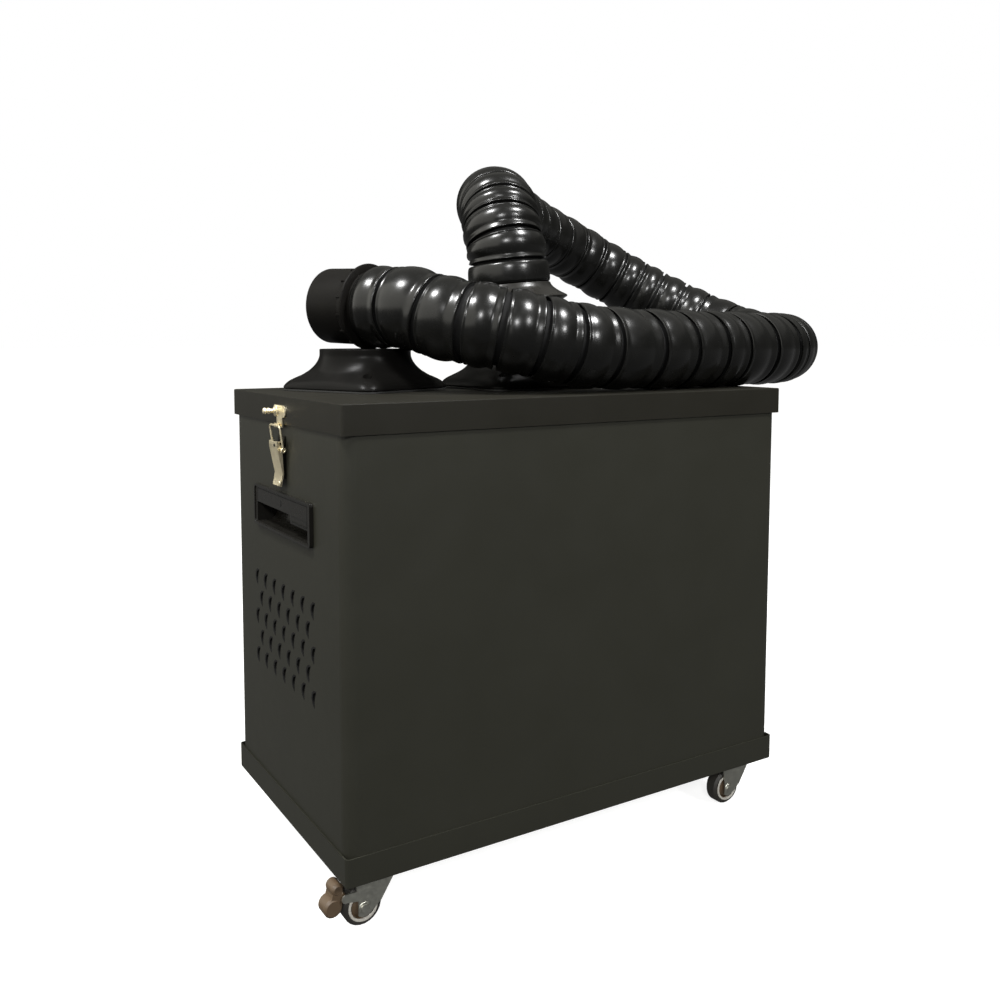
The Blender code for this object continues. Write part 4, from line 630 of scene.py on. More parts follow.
@dataclass
class RibbedHose:
    """The suction hose: a tube of nested cups, with a plain cuff at its start."""

    route: tuple[Point, ...] = (
        (0.0177, 0.0158, 0.556),
        (0.0101, 0.0204, 0.6455),
        (0.0092, 0.0278, 0.672),
        (0.017, 0.048, 0.699),
        (0.028, 0.074, 0.712),
        (0.046, 0.106, 0.7185),
        (0.092, 0.160, 0.7195),
        (0.160, 0.222, 0.7145),
        (0.234, 0.275, 0.7065),
        (0.308, 0.296, 0.687),
        (0.377, 0.285, 0.653),
        (0.438, 0.250, 0.6155),
        (0.487, 0.204, 0.583),
        (0.514, 0.150, 0.559),
        (0.514, 0.092, 0.5455),
        (0.484, 0.034, 0.5415),
        (0.436, -0.014, 0.5405),
        (0.374, -0.056, 0.540),
        (0.304, -0.080, 0.540),
        (0.235, -0.091, 0.540),
        (0.170, -0.097, 0.540),
        (0.112, -0.101, 0.5405),
        (0.062, -0.104, 0.542),
        (0.015, -0.1035, 0.546),
        (-0.0266, -0.0946, 0.554),
        (-0.0621, -0.0786, 0.5625),
        (-0.0902, -0.0552, 0.5692),
        (-0.1121, -0.0235, 0.5772),
        (-0.1296, 0.0096, 0.5855),
    )
    end: Point = (-0.1469, 0.0517, 0.5872)
    grooves: tuple[float, ...] = (
        0.0837, 0.1072, 0.1287, 0.1457, 0.1682, 0.1962, 0.2290, 0.2640, 0.3020, 0.3440,
        0.3877, 0.4484, 0.5012, 0.5472, 0.5915, 0.6375, 0.6747, 0.7093, 0.7503, 0.7924,
        0.8463, 0.8920, 0.9377, 0.9834, 1.0290, 1.0750, 1.1206, 1.1466, 1.2020, 1.2567,
        1.2944, 1.3438, 1.3958, 1.4563, 1.4972, 1.5329, 1.5696, 1.6032, 1.6462, 1.6910,
    )
    length: float = 1.73
    outside: float = 0.089
    bore: float = 0.0345
    sides: int = 56
    groove_share: float = 0.09
    # How far the grooves may open with the bend: the least and the greatest share of a segment for one.
    opening_share: float = 0.9
    groove_limit_shares: tuple[float, float] = (0.03, 0.42)
    # The last segment narrows into the collar: by how much, from which share of it on, and how suddenly.
    last_taper: float = 0.0045
    taper_from_share: float = 0.62
    taper_power: float = 1.6
    # A segment from its groove on: the share of its length, and the radius. The narrow band is first, then
    # a waist, and then the barrel, whose open mouth has a thin rolled rim.
    cup: tuple[tuple[float, float], ...] = (
        (0.0, 0.0390), (0.09, 0.0390), (0.094, 0.0420), (0.100, 0.0431), (0.112, 0.0438), (0.130, 0.0440),
        (0.16, 0.0438), (0.21, 0.0433), (0.26, 0.0428), (0.29, 0.0426), (0.32, 0.0427), (0.35, 0.0431),
        (0.40, 0.0438), (0.47, 0.0446), (0.55, 0.0452), (0.64, 0.0454), (0.73, 0.0452), (0.81, 0.0447),
        (0.87, 0.0440), (0.90, 0.0436), (0.92, 0.0435), (0.94, 0.0439), (0.958, 0.0441), (0.975, 0.0439),
        (0.980, 0.0432), (0.972, 0.0426), (0.93, 0.0422), (0.87, 0.0417), (0.86, 0.0390), (0.93, 0.0388),
    )
    # The cup's first rings are the neck, and from the later one on they are its inside; both take the
    # painted shade.
    neck_rings: int = 2
    inside_ring: int = 25
    # How wide the hose looks along its length: distance, and a share of its width.
    width_shares: tuple[tuple[float, float], ...] = (
        (0.0, 1.0), (0.10, 1.03), (0.34, 1.03), (0.60, 1.0), (1.73, 1.0),
    )
    # How far the grooves open on the outside of a bend: distance, and a share of the full opening.
    opening_shares: tuple[tuple[float, float], ...] = (
        (0.0, 0.03), (0.35, 0.1), (0.75, 0.3), (0.92, 0.85), (1.12, 0.85), (1.25, 0.2), (1.73, 0.1),
    )
    # The plain cuff between the coupling and the first groove: distance along the hose, and radius.
    cuff: tuple[tuple[float, float], ...] = (
        (0.0, 0.0410), (0.0580, 0.0410), (0.0585, 0.0452), (0.0595, 0.0466), (0.0620, 0.0473),
        (0.0690, 0.0477), (0.0760, 0.0473), (0.0805, 0.0465), (0.0822, 0.0456), (0.0828, 0.0446),
        (0.0831, 0.0420),
    )
    # Steps along the spline and along the finished middle line, over which the bend is evened out, and the
    # rings of the bore and the points of the cord's path.
    spline_steps: int = 3000
    steps: int = 2400
    smoothing: int = 61
    bore_rings: int = 90
    path_points: int = 300
    curve: np.ndarray = field(init=False)
    lengths: np.ndarray = field(init=False)

    def __post_init__(self) -> None:
        """Work out the middle line: straight ends, and a cubic spline through the places between."""
        start, *places = [np.array(p) for p in (*self.route, self.end)]
        end = places.pop()
        places = np.array(places)
        chords = np.linalg.norm(np.diff(places, axis=0), axis=1)
        knots = np.concatenate([[0], np.cumsum(chords)])
        slopes = [places[0] - start, *np.diff(places, axis=0), end - places[-1]]
        slopes = np.array([slope / np.linalg.norm(slope) for slope in slopes])
        last = len(places) - 1
        matrix = np.zeros((last + 1, last + 1))
        for i, chord in enumerate(chords):
            matrix[i, i] += 2 * chord
            matrix[i + 1, i + 1] += 2 * chord
            matrix[i, i + 1] = matrix[i + 1, i] = chord
        bends = np.linalg.solve(matrix, 6 * np.diff(slopes, axis=0))
        along = np.linspace(0, knots[-1], self.spline_steps)
        span = np.clip(np.searchsorted(knots, along, side="right") - 1, 0, last - 1)
        gap = chords[span]
        after = ((along - knots[span]) / gap)[:, None]
        before = 1 - after
        sway = (before**3 - before) * bends[span] + (after**3 - after) * bends[span + 1]
        curve = before * places[span] + after * places[span + 1] + sway * (gap**2)[:, None] / 6
        curve = np.concatenate([[start], curve, [end]])
        steps = np.linalg.norm(np.diff(curve, axis=0), axis=1)
        lengths = np.concatenate([[0], np.cumsum(steps)])
        even = np.linspace(0, lengths[-1], self.steps)
        self.curve = np.stack([np.interp(even, lengths, curve[:, k]) for k in range(3)], axis=1)
        self.lengths = even

    def frames(self) -> tuple[np.ndarray, np.ndarray, np.ndarray]:
        """Find the directions across the middle line.

        Returns:
            Two cross directions at each of its points, without twist, and the way that it bends there.
        """
        ahead = np.gradient(self.curve, self.lengths, axis=0)
        ahead /= np.linalg.norm(ahead, axis=1)[:, None]
        first = np.zeros_like(ahead)
        cross = np.cross(ahead[0], (0.0, 1.0, 0.0))
        for i, direction in enumerate(ahead):
            cross = cross - direction * cross.dot(direction)
            cross /= np.linalg.norm(cross)
            first[i] = cross
        bend = np.gradient(ahead, self.lengths, axis=0)
        window = np.ones(self.smoothing) / self.smoothing
        bend = np.stack([np.convolve(bend[:, k], window, "same") for k in range(3)], axis=1)
        return first, np.cross(ahead, first), bend

    def tube(self) -> tuple[list, list, list[bool]]:
        """Shape the hose's outer skin, cup by cup, and its bore, as one closed body.

        Where the hose bends, the grooves open on the outside of the bend and close on its inside, and the
        cups keep their length, as stiff cups on a soft neck do.

        Returns:
            The points, the faces, and whether each face is on the neck, inside a cup or in the bore, where
            painted shade goes.
        """
        first, second, bend = self.frames()
        angles = np.linspace(0, 2 * math.pi, self.sides, endpoint=False)
        cosines, sines = np.cos(angles)[:, None], np.sin(angles)[:, None]

        def at(distance: np.ndarray, values: np.ndarray) -> np.ndarray:
            """Values along the hose, at a distance for each side."""
            return np.stack([np.interp(distance, self.lengths, values[:, k]) for k in range(3)], axis=1)

        def outwards(distance: np.ndarray) -> np.ndarray:
            """The directions out of the hose, for each side at its own distance along the hose."""
            return at(distance, first) * cosines + at(distance, second) * sines

        def ring(distance: np.ndarray, radius: float) -> np.ndarray:
            """A ring of points, each at its own distance along the hose."""
            return at(distance, self.curve) + outwards(distance) * radius

        everywhere = np.ones(self.sides)
        rings = [ring(everywhere * distance, radius) for distance, radius in self.cuff]
        shade_mask = [False] * len(rings)
        length = self.lengths[-1]
        for start, after in zip(self.grooves, (*self.grooves[1:], length)):
            pitch = after - start
            middle = everywhere * (start + pitch * self.groove_share)
            opening = self.opening_share * np.interp(start, *zip(*self.opening_shares))
            stretch = -(at(middle, bend) * outwards(middle)).sum(axis=1) * self.outside / 2 * opening
            groove = np.clip((self.groove_share + stretch) / (1 + stretch), *self.groove_limit_shares)
            wide = np.interp(start, *zip(*self.width_shares))
            for i, (share, radius) in enumerate(self.cup):
                if share <= self.groove_share:
                    along = groove * share / self.groove_share
                else:
                    along = groove + (1 - groove) * (share - self.groove_share) / (1 - self.groove_share)
                if after == length:
                    narrowing = max(0.0, (share - self.taper_from_share) / (1 - self.taper_from_share))
                    radius -= self.last_taper * narrowing**self.taper_power
                rings.append(ring(start + along * pitch, radius * wide))
                shade_mask.append(i < self.neck_rings or i >= self.inside_ring)
        rings.append(ring(everywhere * length, self.cup[0][1]))
        rings += [ring(everywhere * spot, self.bore) for spot in np.linspace(length, 0, self.bore_rings)]
        shade_mask += [True] * (len(rings) - len(shade_mask))
        return (*lofted(rings, closed=True), [shaded for shaded in shade_mask for _ in range(self.sides)])

    def build(self) -> None:
        collar, cuff = HoseFitting().build(facing(Vector(self.curve[-1] - self.curve[-3]), self.end))
        start, upper = Vector(self.route[0]), Vector(self.route[1])
        coupling = HoseCoupling().build(facing(upper - start, start))
        points, faces, shade_mask = self.tube()
        hose = piece("suction_hose", points, faces, HOSE_ELASTOMER, sharp=HOSE_CREASE)
        # The second material paints shade on the necks, the cups' insides and the bore.
        hose.data.materials.append(SHADE_BLACK.material())
        hose.data.polygons.foreach_set("material_index", [int(shaded) for shaded in shade_mask])
        set_piece(hose, "lid", "hose_plastic", "hose")


@dataclass
class HoseCoupling:
    """The coupling on the right inlet: its upright body and, leaning with the hose, its skirt."""

    outside: float = 0.0528
    inside: float = 0.0511
    low: float = 0.5338
    high: float = 0.578
    round_edge: float = 0.002
    low_edge: float = 0.0008
    # Inside, the room for the flange's neck narrows between two heights to the hose's seat.
    seat: float = 0.0414
    neck_top: float = 0.5418
    seat_low: float = 0.560
    # The skirt's outline: radius, and distance from the hose's start.
    skirt: Profile = (
        (0.0413, 0.0579), (0.0460, 0.0579), (0.0468, 0.0575), (0.0472, 0.0567), (0.0480, 0.0545),
        (0.0503, 0.0515), (0.0540, 0.0483), (0.0585, 0.0451), (0.0632, 0.0423), (0.0648, 0.0413),
        (0.0654, 0.0401), (0.0648, 0.0391), (0.0580, 0.0359), (0.0490, 0.0325), (0.0490, 0.0050),
        (0.0413, 0.0050),
    )

    def build(self, lean: Matrix) -> bpy.types.Object:
        """Make the coupling.

        Args:
            lean: the place and direction of the hose's start.

        Returns:
            The piece.
        """
        body = [(self.inside, self.low), (self.outside - self.low_edge, self.low)]
        body += [(self.outside, self.low + self.low_edge), (self.outside, self.high - self.round_edge)]
        middle = (self.outside - self.round_edge, self.high - self.round_edge)
        body += bent(middle, self.round_edge, 0, 90, 4)[1:]
        body += [(self.seat, self.high), (self.seat, self.seat_low), (self.inside, self.neck_top)]
        body_mesh = copied(turned(body, closed=True), Matrix.Translation((*RIGHT_INLET, 0)))
        skirt_mesh = copied(turned(self.skirt, closed=True), lean)
        made = piece("flange_coupling", *merged([body_mesh, skirt_mesh]), MOULDED_ABS)
        return set_piece(made, "lid", "black_plastic", "hose_coupling")


@dataclass
class HoseFitting:
    """The ribbed collar and the plain cuff on the hose's free end."""

    # The collar's outline: radius, and distance from the hose's end.
    collar: Profile = (
        (0.0345, 0.0133), (0.0345, FIT), (0.0392, FIT), (0.0394, 0.0036), (0.0464, 0.0040),
        (0.0474, 0.0046), (0.0477, 0.0056), (0.0474, 0.0068), (0.0464, 0.0074), (0.0434, 0.0078),
        (0.0434, 0.0142), (0.0428, 0.0150), (0.0424, 0.0152), (0.0424, 0.0133),
    )
    # The small ribs round it: how many, on which radius, their section, and how it scales from end to end.
    ribs: int = 14
    rib_radius: float = 0.0434
    rib: Profile = ((-0.0009, -0.0008), (0.0009, -0.0008), (0.0006, 0.0010), (-0.0006, 0.0010))
    rib_ends: Profile = ((1.3, 0.0070), (1.3, 0.0156), (0.6, 0.0170))
    cuff_start: float = 0.0136
    cuff_end: float = 0.0639
    cuff_outside: float = 0.0424
    cuff_inside: float = 0.0394
    cuff_edge: float = 0.0026
    start_edge: float = 0.0006
    mouth: tuple[float, float] = (0.0008, 0.0010)

    def collar_mesh(self) -> Mesh:
        """Shape the collar with its ribs.

        Returns:
            The points and the faces.
        """
        rib = lofted([[(x * size, y * size, z) for x, y in self.rib] for size, z in self.rib_ends])
        out = Matrix.Translation((0, self.rib_radius, 0))
        seats = [Matrix.Rotation(2 * math.pi * k / self.ribs, 4, "Z") @ out for k in range(self.ribs)]
        return merged([turned(self.collar, sides=96, closed=True), copied(rib, *seats)])

    def cuff_mesh(self) -> Mesh:
        """Shape the cuff.

        Returns:
            The points and the faces.
        """
        outer, inner, start, end = self.cuff_outside, self.cuff_inside, self.cuff_start, self.cuff_end
        wide, deep = self.mouth
        middle = (outer - self.cuff_edge, end - self.cuff_edge)
        cuff = [(inner, end - deep), (inner + wide, end), *bent(middle, self.cuff_edge, 90, 0, 6)]
        cuff += [(outer, start + self.start_edge), (outer - self.start_edge, start), (inner, start)]
        return turned(cuff, sides=72, closed=True)

    def build(self, place: Matrix) -> tuple[bpy.types.Object, bpy.types.Object]:
        """Make both pieces.

        Args:
            place: the place and direction of the hose's end.

        Returns:
            The collar and the cuff.
        """
        collar = piece("end_collar", *copied(self.collar_mesh(), place), END_POLYPROPYLENE)
        cuff = piece("end_cuff", *copied(self.cuff_mesh(), place), END_POLYPROPYLENE)
        set_piece(collar, "lid", "black_plastic", "hose_collar")
        set_piece(cuff, "lid", "black_plastic", "hose_end_cuff")
        return collar, cuff


class End(Enum):
    """The cabinet's two short ends, and the inlets near them."""

    LEFT = "left"
    RIGHT = "right"

    def turned(self) -> Matrix:
        """The half turn about Z that brings what the left end has to this end."""
        return Matrix.Rotation(math.pi if self is End.RIGHT else 0, 4, "Z")


@dataclass(frozen=True)
class CrossScrew:
    """A pan-head screw with a cross recess, its head's underside at the origin and its top along +Z."""

    radius: float = 0.0034
    height: float = 0.0026
    # The head's outline, as shares of radius and height.
    head_shares: Profile = ((0.9, 0.0), (1.0, 0.15), (0.97, 0.5), (0.85, 0.85), (0.66, 1.0))
    # The recess: how far its arms reach, half their width, and its rings' sizes and heights.
    arm_share: float = 0.56
    half_arm_share: float = 0.13
    recess_shares: Profile = ((1.0, 1.0), (0.8, 0.35))
    sides: int = 32

    def recess(self, size: float, z: float) -> list:
        """Outline the recess at a height.

        Args:
            size: its scale there.
            z: the height.

        Returns:
            A ring of points.
        """
        ring = []
        for k in range(self.sides):
            c, s = math.cos(2 * math.pi * k / self.sides), math.sin(2 * math.pi * k / self.sides)
            reach = self.radius * self.half_arm_share / max(min(abs(c), abs(s)), 0.001)
            reach = min(self.radius * self.arm_share, reach) * size
            ring.append((reach * c, reach * s, z))
        return ring

    def head(self) -> Mesh:
        """Shape the head.

        Returns:
            The points and the faces.
        """
        shares = self.head_shares
        rings = [circle(self.radius * wide, self.height * high, self.sides) for wide, high in shares]
        rings += [self.recess(size, self.height * high) for size, high in self.recess_shares]
        return lofted(rings)


@dataclass
class InletFlange:
    """A moulded inlet flange: a square foot that flares up into a round neck, on four screws."""

    end: End
    place: tuple[float, float]
    turn: float
    side: float = 0.1375
    corner: float = 0.016
    neck: float = 0.0508
    bore: float = 0.0475
    low: float = 0.4973
    edge: float = 0.0030
    rise: float = 0.0405
    # The flare from the foot's square, which is 1, up to the neck's circle, which is 0: height share, and
    # flare share.
    shares: tuple[tuple[float, float], ...] = (
        (0, 1), (0.14, 0.85), (0.26, 0.58), (0.39, 0.32), (0.53, 0.16), (0.66, 0.06), (0.80, 0), (1, 0),
    )
    flare_steps: int = 61
    flare_smoothing: int = 7
    last_flare_share: float = 0.97
    soft_edge: float = 0.0008
    foot_inset: float = 0.0003
    rim_inset: float = 0.0010
    sides: int = 128
    screw_place: float = 0.050
    screw_turn: float = 2.0
    pocket: float = 0.0050
    pocket_floor: float = 0.5065
    pocket_corner: float = 0.0006
    pocket_top: float = 0.54

    def section(self, flare: float, z: float, inset: float = 0.0) -> list:
        """Outline the flange at a height, part way between the neck's circle and the foot's square.

        Args:
            flare: from 0 at the circle to 1 at the square.
            z: the height.
            inset: how much smaller the ring is all round.

        Returns:
            A ring of points.
        """
        half = self.side / 2 - inset
        round_off = self.corner - inset
        straight = half - round_off
        ring = []
        for k in range(self.sides):
            angle = 2 * math.pi * k / self.sides
            ray = Vector((math.cos(angle), math.sin(angle)))
            spot = ray * (half / max(abs(ray.x), abs(ray.y)))
            if min(abs(spot.x), abs(spot.y)) > straight:
                corner = Vector((math.copysign(straight, ray.x), math.copysign(straight, ray.y)))
                along = ray.dot(corner)
                spot = ray * (along + math.sqrt(round_off**2 - corner.length_squared + along**2))
            flat = ray * (self.neck - inset) * (1 - flare) + spot * flare
            ring.append((flat.x, flat.y, z))
        return ring

    def bell(self) -> Mesh:
        """Shape the flange's body, with soft edges at foot and rim.

        Returns:
            The points and the faces.
        """
        soft, foot_top = self.soft_edge, self.low + self.edge
        rises, flares = zip(*self.shares)
        shares = np.linspace(0, 1, self.flare_steps)
        window = np.ones(self.flare_smoothing) / self.flare_smoothing
        smooth = np.pad(np.interp(shares, rises, flares), self.flare_smoothing // 2, mode="edge")
        smooth = np.convolve(smooth, window, "valid")
        rings = [self.section(1, self.low + soft / 2, soft / 2), self.section(1, self.low + soft)]
        rings += [self.section(1, foot_top - soft), self.section(1, foot_top - soft / 4, self.foot_inset)]
        for share, flare in zip(shares[1:], smooth[1:]):
            if share < self.last_flare_share:
                rings.append(self.section(float(flare), foot_top + share * self.rise))
        top = foot_top + self.rise
        rings += [self.section(0, top - soft), self.section(0, top - soft / 4, soft / 2)]
        rings.append(self.section(0, top, self.rim_inset))
        inner = [(self.bore + soft, top), (self.bore, top - soft), (self.bore, self.low)]
        rings += [circle(radius, z, self.sides) for radius, z in inner]
        return lofted(rings, closed=True)

    def corners(self) -> list[tuple[float, float]]:
        """Where the four screws stand, from the flange's middle."""
        return [(x * self.screw_place, y * self.screw_place) for x in (-1, 1) for y in (-1, 1)]

    def build(self) -> None:
        """Make the flange, with a pocket for each screw, and the screws' heads."""
        spot = Matrix.Translation((*self.place, 0)) @ Matrix.Rotation(self.turn, 4, "Z")
        pocket = [(self.pocket - self.pocket_corner, self.pocket_floor)]
        pocket += [(self.pocket, self.pocket_floor + self.pocket_corner), (self.pocket, self.pocket_top)]
        holes = [spot @ Matrix.Translation((x, y, 0)) for x, y in self.corners()]
        seats = []
        for x, y in self.corners():
            seat = spot @ Matrix.Translation((x, y, self.pocket_floor + SINK))
            seats.append(seat @ Matrix.Rotation(math.copysign(self.screw_turn, x), 4, "Z"))
        bell = piece(f"flange_bell_{self.end.value}", *copied(self.bell(), spot), SATIN_ABS)
        carve(bell, *copied(turned(pocket, sides=40), *holes))
        set_piece(bell, "lid", "black_plastic", f"inlet_flange_{self.end.value}")
        heads = piece(f"flange_screws_{self.end.value}", *copied(CrossScrew().head(), *seats), SCREW_ZINC)
        set_piece(heads, "lid", "bright_zinc")


class Corner(Enum):
    """The four casters: each one's name, where its swivel is, and its turn."""

    FRONT_LEFT = ("front_left", -0.237, -0.123, 0.0)
    REAR_LEFT = ("rear_left", -0.237, 0.123, math.pi)
    FRONT_RIGHT = ("front_right", 0.237, -0.123, 0.0)
    REAR_RIGHT = ("rear_right", 0.237, 0.123, math.pi)

    def matrix(self) -> Matrix:
        """From the caster's own axes to the frame's."""
        _, x, y, turn = self.value
        return Matrix.Translation((x, y, 0)) @ Matrix.Rotation(turn, 4, "Z")


@dataclass
class Caster:
    """A swivel caster's fine detail: the light rings on its wheel and the bosses pressed in its fork."""

    corner: Corner
    trail: float = 0.0115
    wheel_radius: float = 0.0195
    wheel_half: float = 0.0080
    ring_inner: float = 0.0126
    ring_outer: float = 0.0152
    ring_sunk: float = 0.0012
    ring_proud: float = 0.0006
    ring_chamfer: float = 0.0004
    cheek: float = 0.0110
    # A boss: radius, and height on the cheek.
    boss: Profile = ((0.0058, 0), (0.0055, 0.0004), (0.0049, 0.0007), (0.0040, 0.0008))

    def ends(self, out: float = 0.0) -> list[Matrix]:
        """Find the seats on both ends of the axle.

        Args:
            out: how far from the wheel's middle they are.

        Returns:
            Their matrices, with +Z outwards.
        """
        axle = self.corner.matrix() @ Matrix.Translation((-self.trail, 0, self.wheel_radius))
        lift = Matrix.Translation((0, 0, out))
        return [axle @ Matrix.Rotation(turn, 4, "X") @ lift for turn in (math.pi / 2, -math.pi / 2)]

    def build(self) -> None:
        """Make the rings and the bosses."""
        name = self.corner.value[0]
        low, high = self.wheel_half - self.ring_sunk, self.wheel_half + self.ring_proud
        shoulder = high - self.ring_chamfer
        outline = [(self.ring_inner, low), (self.ring_inner, shoulder)]
        outline += [(self.ring_inner + self.ring_chamfer, high), (self.ring_outer - self.ring_chamfer, high)]
        outline += [(self.ring_outer, shoulder), (self.ring_outer, low)]
        rings = copied(turned(outline, sides=56, closed=True), *self.ends())
        made = piece(f"wheel_ring_{name}", *rings, GREY_POLYPROPYLENE)
        set_piece(made, f"wheel_{name}", "brown_plastic")
        bosses = copied(turned(self.boss, sides=40), *self.ends(self.cheek - SINK))
        made = piece(f"fork_boss_{name}", *bosses, BRIGHT_ZINC)
        set_piece(made, f"caster_{name}", "bright_zinc")


@dataclass
class AirSlots:
    """Near-black sleeves in the crescent slots on the left end, proud outside and deep inside: painted shade
    that fills each slot and rims it on the wall.
    """

    rows: tuple[int, ...] = (7, 6, 7, 6, 7)
    pitch_y: float = 0.02675
    pitch_z: float = 0.0217
    top: float = 0.2925
    radius: float = 0.0084
    width: float = 0.0058
    half_angle: float = math.radians(84)
    tilt: float = math.radians(14)
    depth: float = 0.0065
    shade_rim: float = 0.0026
    shade_rim_proud: float = 0.00015
    # The sleeve's rings, as shares of the slot: in the cut, inside it, and outside on the wall, where the
    # rim of painted shade lies.
    cut_share: float = 0.975
    inside_share: float = 0.90
    outside_share: float = 1.02
    outer_facets: int = 5
    inner_facets: int = 3

    def crescent(self, size: float, grown: float = 0.0) -> list[tuple[float, float]]:
        """Outline a crescent.

        Args:
            size: its scale about its own middle.
            grown: how far its round side stands out further.

        Returns:
            A ring of points, along Y and Z.
        """
        half = self.half_angle
        chord = self.radius * math.sin(half)
        sagitta = self.radius * (1 - math.cos(half)) - self.width
        flatter = (chord**2 + sagitta**2) / (2 * sagitta)
        spread = math.degrees(math.asin(chord / flatter))
        outer = bent((0, 0), self.radius, -math.degrees(half), math.degrees(half), self.outer_facets)
        share = grown / self.radius
        outer = [(a * (1 + share), b * (1 + share / 3)) for a, b in outer]
        flat_middle = (self.radius - self.width - flatter, 0)
        inner = bent(flat_middle, flatter, spread, -spread, self.inner_facets)[1:-1]
        middle = self.radius - self.width / 2
        points = [((a - middle) * size + middle, b * size) for a, b in outer + inner]
        cos, sin = math.cos(self.tilt), math.sin(self.tilt)
        return [(a * cos - b * sin, a * sin + b * cos) for a, b in points]

    def build(self) -> None:
        """Make all the slots' painted shade as one piece."""
        cut, inner = self.crescent(self.cut_share), self.crescent(self.inside_share)
        shade_rim = self.crescent(self.outside_share, self.shade_rim)
        near, far, proud = -WALL_X + SINK, -WALL_X + self.depth, -WALL_X - self.shade_rim_proud
        outlines = ((shade_rim, near), (shade_rim, proud), (inner, proud), (inner, far), (cut, far), (cut, near))
        parts = []
        for row, count in enumerate(self.rows):
            z = self.top - row * self.pitch_z
            for i in range(count):
                y = (i - (count - 1) / 2) * self.pitch_y
                rings = [[(x, y + a, z + b) for a, b in outline] for outline, x in outlines]
                parts.append(lofted(rings, closed=True))
        # Near-black sleeves and rims: painted shade in and round the slots.
        slot_shade = piece("slot_painted_shade", *merged(parts), SHADE_BLACK)
        set_piece(slot_shade, "cabinet", "powder_coat")


@dataclass
class ToggleLatch:
    """A toggle latch's small parts: the keeper's stud, the bail's eyes, a dark disc of painted shade for the
    lever's hole, and the lever's curled tail.
    """

    end: End
    # The stud on the keeper: its place, and its radius by distance from the wall.
    stud_place: tuple[float, float] = (0.0090, 0.4795)
    stud: Profile = (
        (0.0062, 0.0036), (0.0060, 0.0043), (0.0046, 0.0049), (0.0033, 0.0052), (0.0030, 0.0058),
        (0.0024, 0.0064), (0.0023, 0.0100), (0.0030, 0.0104), (0.0033, 0.0112), (0.0030, 0.0120),
        (0.0023, 0.0124), (0.0023, 0.0134), (0.0030, 0.0140), (0.0034, 0.0150), (0.0032, 0.0161),
        (0.0024, 0.0169), (0.0012, 0.0173),
    )
    eye_y: float = 0.0144
    eye_out: float = 0.0046
    eye_z: float = 0.441
    eye_loop: float = 0.0020
    eye_wire: float = 0.0009
    eye_wire_sides: int = 11
    # A near-black disc on the lever, painted shade for its hole: its radius and height, its place, its tilt,
    # and how much longer it is along Y.
    hole: Profile = ((0.0019, -0.0002), (0.0019, 0.0001), (0.0012, 0.0002))
    hole_place: Point = (-0.0102, -0.0040, 0.4462)
    hole_tilt: float = math.radians(80)
    hole_oval: float = 1.25
    # The curl at the lever's lower end: its radius and height, and its foot's place.
    curl: Profile = (
        (0.0004, 0), (0.0013, 0.0002), (0.0016, 0.0010),
        (0.0016, 0.0046), (0.0013, 0.0054), (0.0004, 0.0056),
    )
    curl_place: Point = (-0.0072, -0.0104, 0.4047)

    def place(self) -> Matrix:
        """From the left end's wall, with +X into the cabinet, to this latch's place."""
        return self.end.turned() @ Matrix.Translation((-WALL_X, 0, 0))

    def add(self, name: str, body: str, mesh: Mesh, finish: Finish, *seats: Matrix) -> None:
        """Make one of the small parts.

        Args:
            name: what it is called.
            body: the body that it rides on.
            mesh: its points and faces.
            finish: its surface.
            seats: where it is, once or more, from the left end's wall.
        """
        places = [self.place() @ seat for seat in seats]
        made = piece(f"{name}_{self.end.value}", *copied(mesh, *places), finish)
        set_piece(made, body, "latch_zinc")

    def build(self) -> None:
        """Make the small parts and let each ride with the part that it is on."""
        bail, lever = f"latch_bail_{self.end.value}", f"latch_lever_{self.end.value}"
        seat = Matrix.Translation((0, *self.stud_place)) @ Matrix.Rotation(-math.pi / 2, 4, "Y")
        self.add("keeper_stud", "lid", turned(self.stud, sides=40), YELLOW_ZINC, seat)
        wire = [(self.eye_loop + x, z) for x, z, _ in circle(self.eye_wire, 0, self.eye_wire_sides)]
        axis = Matrix.Rotation(math.pi / 2, 4, "X")
        eyes = [(-self.eye_out, y, self.eye_z) for y in (-self.eye_y, self.eye_y)]
        seats = [Matrix.Translation(place) @ axis for place in eyes]
        self.add("bail_eyes", bail, turned(wire, sides=28, closed=True), YELLOW_ZINC, *seats)
        seat = Matrix.Translation(self.hole_place) @ Matrix.Rotation(-self.hole_tilt, 4, "Y")
        seat = seat @ Matrix.Diagonal((1.0, self.hole_oval, 1.0, 1.0))
        # A near-black disc stands in for the hole: painted shade.
        self.add("lever_hole_shade", lever, turned(self.hole, sides=28), SHADE_BLACK, seat)
        seat = Matrix.Translation(self.curl_place)
        self.add("lever_curl", lever, turned(self.curl, sides=24), YELLOW_ZINC, seat)


